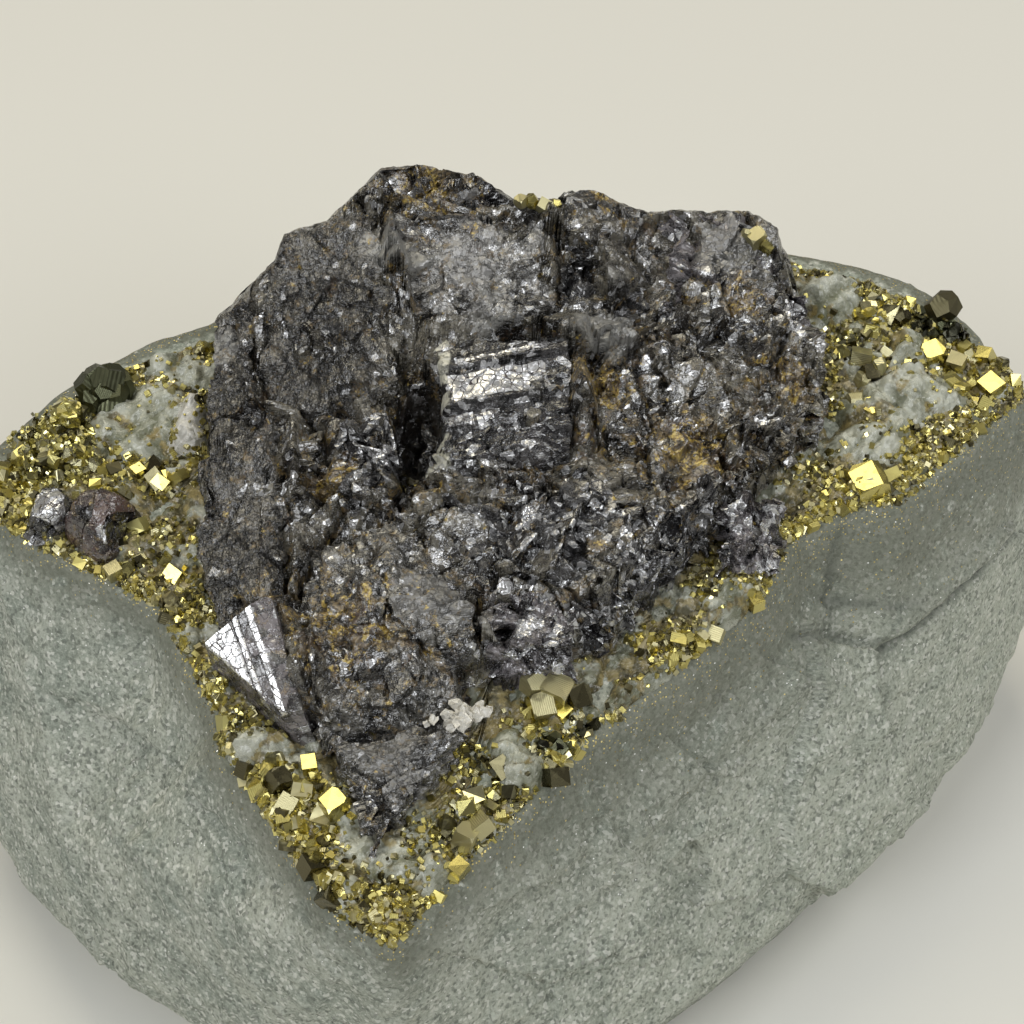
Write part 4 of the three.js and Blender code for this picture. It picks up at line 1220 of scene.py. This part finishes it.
def quartz_bed(n):
    """A sheet over the whole vein with most of its rows outside the sphalerite. Its border is one
    point below."""
    share, side, index = disc_grid(n)
    sides = np.linspace(-math.pi, 2 * math.pi, 541)
    inner = 0.8 * farthest(sides, lambda x, y: height_under(x, y, sphalerite_nodes, 0)[0] > 0.2)
    outer = farthest(sides, lambda x, y: past_rim(x, y, VEIN) < 0)
    inner, outer = np.interp(side, sides, np.minimum(inner, 0.9 * outer)), np.interp(side, sides, outer)
    radius = np.where(share < 0.2, inner * share / 0.2, inner + (outer - inner) * (share - 0.2) / 0.8)
    x = GROUND_MIDDLE[0] + radius * np.cos(side)
    y = GROUND_MIDDLE[1] + radius * np.sin(side)
    height, tone, milk = bed_surface(x, y)
    local = np.stack([x, y, height], axis=-1)
    local[0, 0] = (*GROUND_MIDDLE, -6)
    attributes = {"tone": tone.reshape(-1, 3), "milk": milk.ravel()}
    return from_bed(local).reshape(-1, 3), closed_triangles(index), attributes


points, triangles, attributes = quartz_bed(int(300 * FINE))
new_piece("quartz_bed", points, triangles, milky, quartz_nodes, attributes, smooth=True)

# %% [markdown]
# ## Pyrite
# Brassy cubes and pyritohedra stand in the quartz: clusters where the CAD model has them, a few
# large crystals placed one by one, and a fine glittering crust along the edges.

# %% The finish of pyrite
def pyrite_finish(name, gold, dull, pale, dull_share, rough=0.13):
    """Metal whose crystals differ: most are bright, some are tarnished; faces carry fine striae."""
    finish = Finish(name)
    tone = finish.node("ShaderNodeAttribute", {"attribute_name": "tone"}).of("Vector")
    tone = finish.node("ShaderNodeSeparateXYZ", None, {"Vector": tone})
    own = finish.node("ShaderNodeAttribute", {"attribute_name": "own"}).of("Vector")
    cloud = finish.noise(1.5, 3, 0.6)
    share = (tone * 0.9 + cloud * 0.3).span(1.0 - dull_share, 1.08 - dull_share)
    base = finish.mix((tone.of("Y") > 0.66), gold, pale)
    base = finish.mix(share, base, dull)
    values = {"Vector": own, "Scale": 2.2, "Distortion": 0.5, "Detail": 1.0}
    striae = finish.node("ShaderNodeTexWave", {"bands_direction": "X"}, values, output=1)
    smear = finish.noise(0.5, 2, 0.6)
    satin = tone.of("Z").span(0.35, 0.65)
    roughness = rough + satin * 0.20 + smear.span(0.5, 0.8) * 0.12
    normal = finish.bump(striae * (tone.of("Z") > 0.5) * 0.9 + smear * 0.3, 0.03, 0.5)
    return finish.shade(Base_Color=base, Metallic=1.0, Roughness=roughness, Normal=normal)


gold = pyrite_finish("bright_pyrite", gold=(0.50, 0.44, 0.155), dull=(0.12, 0.108, 0.06),
                     pale=(0.54, 0.50, 0.29), dull_share=0.15, rough=0.26)
olive = pyrite_finish("olive_pyrite", gold=(0.51, 0.465, 0.19), dull=(0.15, 0.14, 0.08),
                      pale=(0.56, 0.53, 0.32), dull_share=0.20, rough=0.20)
dark_gold = pyrite_finish("tarnished_pyrite", gold=(0.10, 0.105, 0.062), dull=(0.05, 0.05, 0.035),
                          pale=(0.16, 0.165, 0.10), dull_share=0.25, rough=0.16)

# %% Build the pyrite clusters
big_sizes = {"pyrite_bubbly_cluster": 1.5, "pyrite_tip_crust": 0.6,
             "pyrite_edge_grains": 0.35, "pyrite_right_crust": 0.6, "pyrite_left_tip": 0.8,
             "pyrite_gold_crust": 0.36, "pyrite_left_band": 0.9, "pyrite_left_inner": 1.0,
             "pyrite_right_cubes": 1.2, "pyrite_right_top": 1.2}
dense_ones = {"pyrite_bubbly_cluster": 4.0, "pyrite_left_tip": 3.0,
              "pyrite_gold_crust": 4.0, "pyrite_tip_crust": 2.5, "pyrite_right_top": 2.0,
              "pyrite_corner_crystal": 2.0, "pyrite_left_band": 2.0}
dark_ones = {"pyrite_dark_ball", "pyrite_dark_crystals", "pyrite_corner_crystal"}
olive_ones = {"pyrite_bubbly_cluster", "pyrite_right_inner", "pyrite_striated_fan", "pyrite_left_inner",
              "pyrite_front_left_blocks"}


BALLS = {"pyrite_bubbly_cluster"}  # mostly twelve-sided crystals, on the skin of the body


def ball_of_crystals(random, count=15, middle=(-30.9, 13.1, 0.9), reach=1.1):
    """Twelve-sided crystals at even places on a ball, by the golden angle, from its top to below its
    middle. They are larger than the gaps between them, so they meet in sharp edges."""
    number = np.arange(count)
    up = 1 - 1.5 * (number + 0.5) / count
    around = math.pi * (3 - math.sqrt(5)) * number
    out = np.sqrt(1 - up**2)
    places = middle + reach * np.stack([out * np.cos(around), out * np.sin(around), up], axis=-1)
    return scatter(pyritohedron, from_bed(places), random.uniform(1.9, 2.5, count), random, 0.1,
                   tones=np.tile([0.3, 0.2, 0.6], (count, 1)))


def cluster(node, seed):
    """Large crystals on a CAD body's place, smaller ones between them, fine ones over all. In a ball
    they sit in the body's own skin, elsewhere in the quartz; most that would sit on a quartz lump
    are left out."""
    random = np.random.default_rng(seed)
    big, dense = big_sizes.get(node, 1.1), dense_ones.get(node, 1.0)
    forms = (pyritohedron, pyritohedron, pyritohedron, blunt_cube, cube) if node in BALLS else \
        (cube, pyritohedron, cube, blunt_cube, cube)
    groups = []
    if node == "pyrite_dark_ball":
        return join([ball_of_crystals(random)])
    crystal_sizes = (big, big, 0.6 * big, 0.5 * big, 0.28)
    covers = (0.13, 0.13, 0.16, 0.14, 0.16)  # share of the body's area that each form covers
    for shape, size, cover in zip(forms, crystal_sizes, covers):
        _, _, area = seats(node, 1, random, [0.0])
        count = max(2, round(area * cover * dense / size**2))
        sizes = size * random.uniform(0.6, 1.25, count)
        places, kept, _ = seats(node, count, random, 0.45 * sizes)
        if node not in BALLS:
            local = to_bed(places)
            lump, _ = height_under(local[:, 0], local[:, 1], quartz_nodes, 0.0)
            kept &= (lump < 0) | (random.uniform(size=count) < 0.4)
            local[:, 2] = bed_surface(local[:, 0], local[:, 1])[0] + 0.05 * sizes
            places = from_bed(local)
        groups.append(scatter(shape, places[kept], sizes[kept], random, 0.3, ragged=0.2))
    return join(groups)


for number, node in enumerate(pyrite_nodes):
    points, triangles, own, tone = cluster(node, 500 + number)
    new_piece(node.replace("pyrite_", "pyrite_crystals_"), points, triangles,
              dark_gold if node in dark_ones else olive if node in olive_ones else gold,
              [node], {"own": own, "tone": tone})

# %% Place the large crystals
# Each crystal: place on the vein face, height, size, form, lean of its top face to x and y, spin in
# degrees, and how it looks.
BRIGHT, PALE, DARK = (0.1, 0.2, 0.1), (0.1, 0.9, 0.9), (1.0, 0.2, 0.3)
STRIATED, DARK_STRIATED = (0.75, 0.9, 0.9), (1.0, 0.9, 0.9)
LARGE = [
    (27.4, 15.1, 1.0, 1.1, blunt_cube, 0.3, -0.3, 20, DARK),
    (26.0, 12.4, 0.9, 1.5, pyritohedron, 0.1, -0.2, 10, PALE),
    (26.3, 4.7, 1.0, 2.4, blunt_cube, -0.26, 0.0, 15, BRIGHT),
    (1.6, -12.8, 1.5, 2.1, pyritohedron, -0.15, 0.1, 40, PALE),
    (3.0, -13.3, 1.5, 1.9, blunt_cube, 0.10, 0.05, 65, PALE),
    (2.2, -14.3, 1.1, 1.6, blunt_cube, -0.2, -0.3, 10, STRIATED),
    (4.3, -13.6, 0.9, 1.5, blunt_cube, 0.5, -0.3, 30, DARK),
    (3.4, -14.8, 0.7, 1.2, cube, -0.1, 0.1, 50, BRIGHT),
    (-11.6, -22.0, 1.6, 1.5, blunt_cube, -0.06, 0.09, 35, BRIGHT),
    (-13.4, -18.9, 1.0, 1.1, cube, -0.05, 0.08, 10, BRIGHT),
    (-15.4, -20.0, 1.0, 1.3, blunt_cube, 0.5, 0.2, 30, DARK),
    (-14.6, -21.6, 0.8, 1.2, cube, -0.25, -0.5, 55, PALE),
    (-12.9, -26.0, 0.6, 1.2, cube, 0.5, 0.4, 25, DARK),
    (-11.6, -28.0, 0.5, 1.4, blunt_cube, 0.6, -0.2, 70, DARK),
    (-0.8, -18.9, 1.0, 1.4, cube, 0.35, -0.5, 45, DARK),
    (2.9, -19.6, 0.8, 1.3, cube, 0.6, -0.5, 20, DARK),
    (-3.4, -26.2, 0.7, 1.0, cube, -0.05, -0.05, 50, BRIGHT),
    (-3.0, -24.0, 0.9, 1.5, blunt_cube, 0.3, 0.4, 60, STRIATED),
    (-2.0, -23.2, 0.9, 1.2, cube, -0.6, 0.3, 35, PALE),
    (36.6, 13.8, 1.0, 1.5, cube, -0.32, -0.03, 30, BRIGHT),
    (32.6, 17.0, 1.2, 1.5, blunt_cube, -0.30, -0.03, 15, BRIGHT),
    (34.2, 16.2, 1.0, 1.3, cube, -0.15, -0.1, 60, PALE),
    (33.7, 21.2, 2.2, 2.5, pyritohedron, 0.5, -0.1, 35, DARK_STRIATED),
    (30.6, 21.0, 0.9, 1.5, pyritohedron, 0.4, 0.3, 40, DARK),
    (-27.5, 5.6, 1.0, 0.9, cube, 0.01, 0.0, 40, BRIGHT),
    (-25.8, 5.1, 0.8, 0.9, cube, 0.01, 0.0, 15, BRIGHT),
    (-28.4, -3.0, 0.5, 1.1, cube, 0.02, 0.03, 35, PALE),
    (-24.0, -3.4, 0.7, 1.1, cube, -0.2, -0.5, 50, BRIGHT),
    (18.8, 23.9, 6.7, 1.3, blunt_cube, -0.2, -0.1, 30, STRIATED),
    (19.7, 23.4, 6.2, 0.9, cube, 0.1, -0.3, 55, BRIGHT),
    (18.0, 24.1, 6.9, 0.8, pyritohedron, 0.1, 0.2, 10, PALE),
    (1.5, 24.6, 9.9, 1.1, pyritohedron, -0.1, 0.0, 20, BRIGHT),
    (2.4, 24.3, 9.6, 0.9, cube, 0.3, -0.4, 70, PALE),
    (0.7, 24.5, 9.9, 0.8, blunt_cube, -0.2, 0.1, 50, STRIATED),
    (3.3, 24.9, 9.2, 0.9, pyritohedron, 0.3, 0.2, 15, BRIGHT),
    (26.8, 14.6, 0.8, 1.3, pyritohedron, 0.2, 0.1, 20, STRIATED),
    (27.2, 11.8, 0.6, 1.4, blunt_cube, -0.1, 0.0, 55, BRIGHT),
    (17.2, -5.6, 0.4, 1.0, cube, 0.0, 0.1, 25, BRIGHT),
    (14.2, -8.2, 0.3, 1.0, cube, -0.3, -0.4, 60, PALE)]


def large_crystals():
    """Each form is spun about its own upright and leaned by (x, y); those that look alike need not
    be alike, so every one gets a small stretch."""
    random = np.random.default_rng(55)
    groups = []
    for x, y, height, size, shape, lean_x, lean_y, spin, look in LARGE:
        up = np.array([lean_x, lean_y, 1.0])
        up /= np.linalg.norm(up)
        level = np.cross([0, 1, 0], up)
        level /= np.linalg.norm(level)
        stand = np.stack([level, np.cross(up, level), up], axis=1) @ turn(0, 0, spin)
        place = from_bed(np.array([[x, y, height - 0.3 * size]]))
        groups.append(scatter(shape, place, [size], random, 0.12, (bed_axes.T @ stand)[None],
                              ragged=0.07, tones=np.array([look])))
    return join(groups)


points, triangles, own, tone = large_crystals()
new_piece("pyrite_large_crystals", points, triangles, gold, (), {"own": own, "tone": tone})

# %% Place the white fleck
def fleck(middle=(-3.3, -16.4, 2.9), count=26):
    """A patch of white quartz on the front of the sphalerite: a few broken chips laid in a row."""
    random = np.random.default_rng(66)
    places = middle + random.normal(size=(count, 3)) * (0.9, 0.34, 0.08) @ turn(0, 0, 25).T
    sizes = random.uniform(0.3, 0.75, count)
    points, triangles, _, tone = scatter(blunt_cube, from_bed(places), sizes, random, 0.4, ragged=0.35)
    return points, triangles, {"tone": tone, "milk": np.full(len(points), 2.0)}


points, triangles, attributes = fleck()
new_piece("quartz_fleck", points, triangles, milky, (), attributes)

# %% [markdown]
# ## The fine crust
# The vein face is dusted with small pyrite, densest in a narrow band along its edges, in the two
# side corners and at the front tip. Random places are kept where they are inside the rim and
# outside the sphalerite.

# %% Scatter the fine crust
def crust(count, size, shapes, seed, band, tries=120000):
    """Small crystals near the rim, where patchy noise favours them."""
    random = np.random.default_rng(seed)
    spread = random.uniform((-42, -33, 0), (42, 32, 0), (tries, 3))
    past = past_rim(spread[:, 0], spread[:, 1], VEIN)
    bare = height_under(spread[:, 0], spread[:, 1], sphalerite_nodes, 0.2)[0] < 0.3
    bare |= way_in(spread[:, 0], spread[:, 1]) < 0
    favour = 0.6 * noise(spread, 3.0, 900, 2) + 1.2 * np.exp(past / band) + random.uniform(-0.3, 0.3, tries)
    lump, _ = height_under(spread[:, 0], spread[:, 1], quartz_nodes, 0.0)
    bare &= (lump < 0) | (random.uniform(size=tries) < 0.16)
    favour = np.where((past < -0.1 - 0.4 * size) & bare, favour, -9)
    places = spread[np.argsort(-favour)[:min(count, (favour > -9).sum())]]
    places[:, 2] = bed_surface(places[:, 0], places[:, 1])[0]
    groups = []
    for part, shape in zip(np.array_split(random.permutation(len(places)), len(shapes)), shapes):
        sizes = size * np.minimum(random.lognormal(0, 0.4, len(part)), 1.7)
        groups.append(scatter(shape, from_bed(places[part]), sizes, random, 0.3, ragged=0.15))
    return join(groups)


points, triangles, own, tone = crust(9000, size=0.25, shapes=(cube, cube, cube, blunt_cube), seed=801,
                                     band=0.8)
new_piece("pyrite_fine_crust", points, triangles, gold, (), {"own": own, "tone": tone})
points, triangles, own, tone = crust(420, size=0.5, shapes=(cube, pyritohedron), seed=803, band=3.0)
new_piece("pyrite_small_crystals", points, triangles, gold, (), {"own": own, "tone": tone})

# %% Stage
FLOOR_WIDTH = 8.0


def stage():
    """A wide pale floor under the stone."""
    finish = Finish("pale_floor")
    finish.shade(Base_Color=(0.68, 0.668, 0.61, 1), Roughness=0.6)
    half = FLOOR_WIDTH / 2
    corners = [(-half, -half, 0), (half, -half, 0), (half, half, 0), (-half, half, 0)]
    mesh = bpy.data.meshes.new("floor")
    mesh.from_pydata(corners, [], [(0, 1, 2, 3)])
    mesh.materials.append(finish.material)
    floor = bpy.data.objects.new("floor", mesh)
    bpy.context.scene.collection.objects.link(floor)


stage()

LIGHT_DISTANCE = 0.80


def area_light(name, direction, size, power, colour=(1, 1, 1)):
    """A soft box that looks at the stone from this direction."""
    lamp = bpy.data.lights.new(name, "AREA")
    lamp.shape, lamp.size, lamp.size_y = "RECTANGLE", size, size
    lamp.energy, lamp.color = power, colour
    holder = bpy.data.objects.new(name, lamp)
    holder.location = aim + Vector(direction).normalized() * LIGHT_DISTANCE
    holder.rotation_euler = Vector(direction).to_track_quat("Z", "Y").to_euler()
    bpy.context.scene.collection.objects.link(holder)


WARM, COOL = (1.0, 0.92, 0.72), (0.96, 0.985, 1.02)
area_light("back", (-0.20, 0.50, 0.84), 0.38, 2.2, WARM)
area_light("front_left", (-0.55, -0.47, 0.69), 0.38, 3.0, COOL)
area_light("front_right", (0.50, -0.54, 0.68), 0.38, 2.5, COOL)
area_light("back_right", (0.64, 0.37, 0.67), 0.25, 1.2)
world = bpy.data.worlds.new("room")
world.use_nodes = True
world.node_tree.nodes["Background"].inputs["Color"].default_value = (1.0, 0.97, 0.93, 1)
world.node_tree.nodes["Background"].inputs["Strength"].default_value = 0.16
bpy.context.scene.world = world
bpy.context.scene.view_settings.view_transform = "Standard"
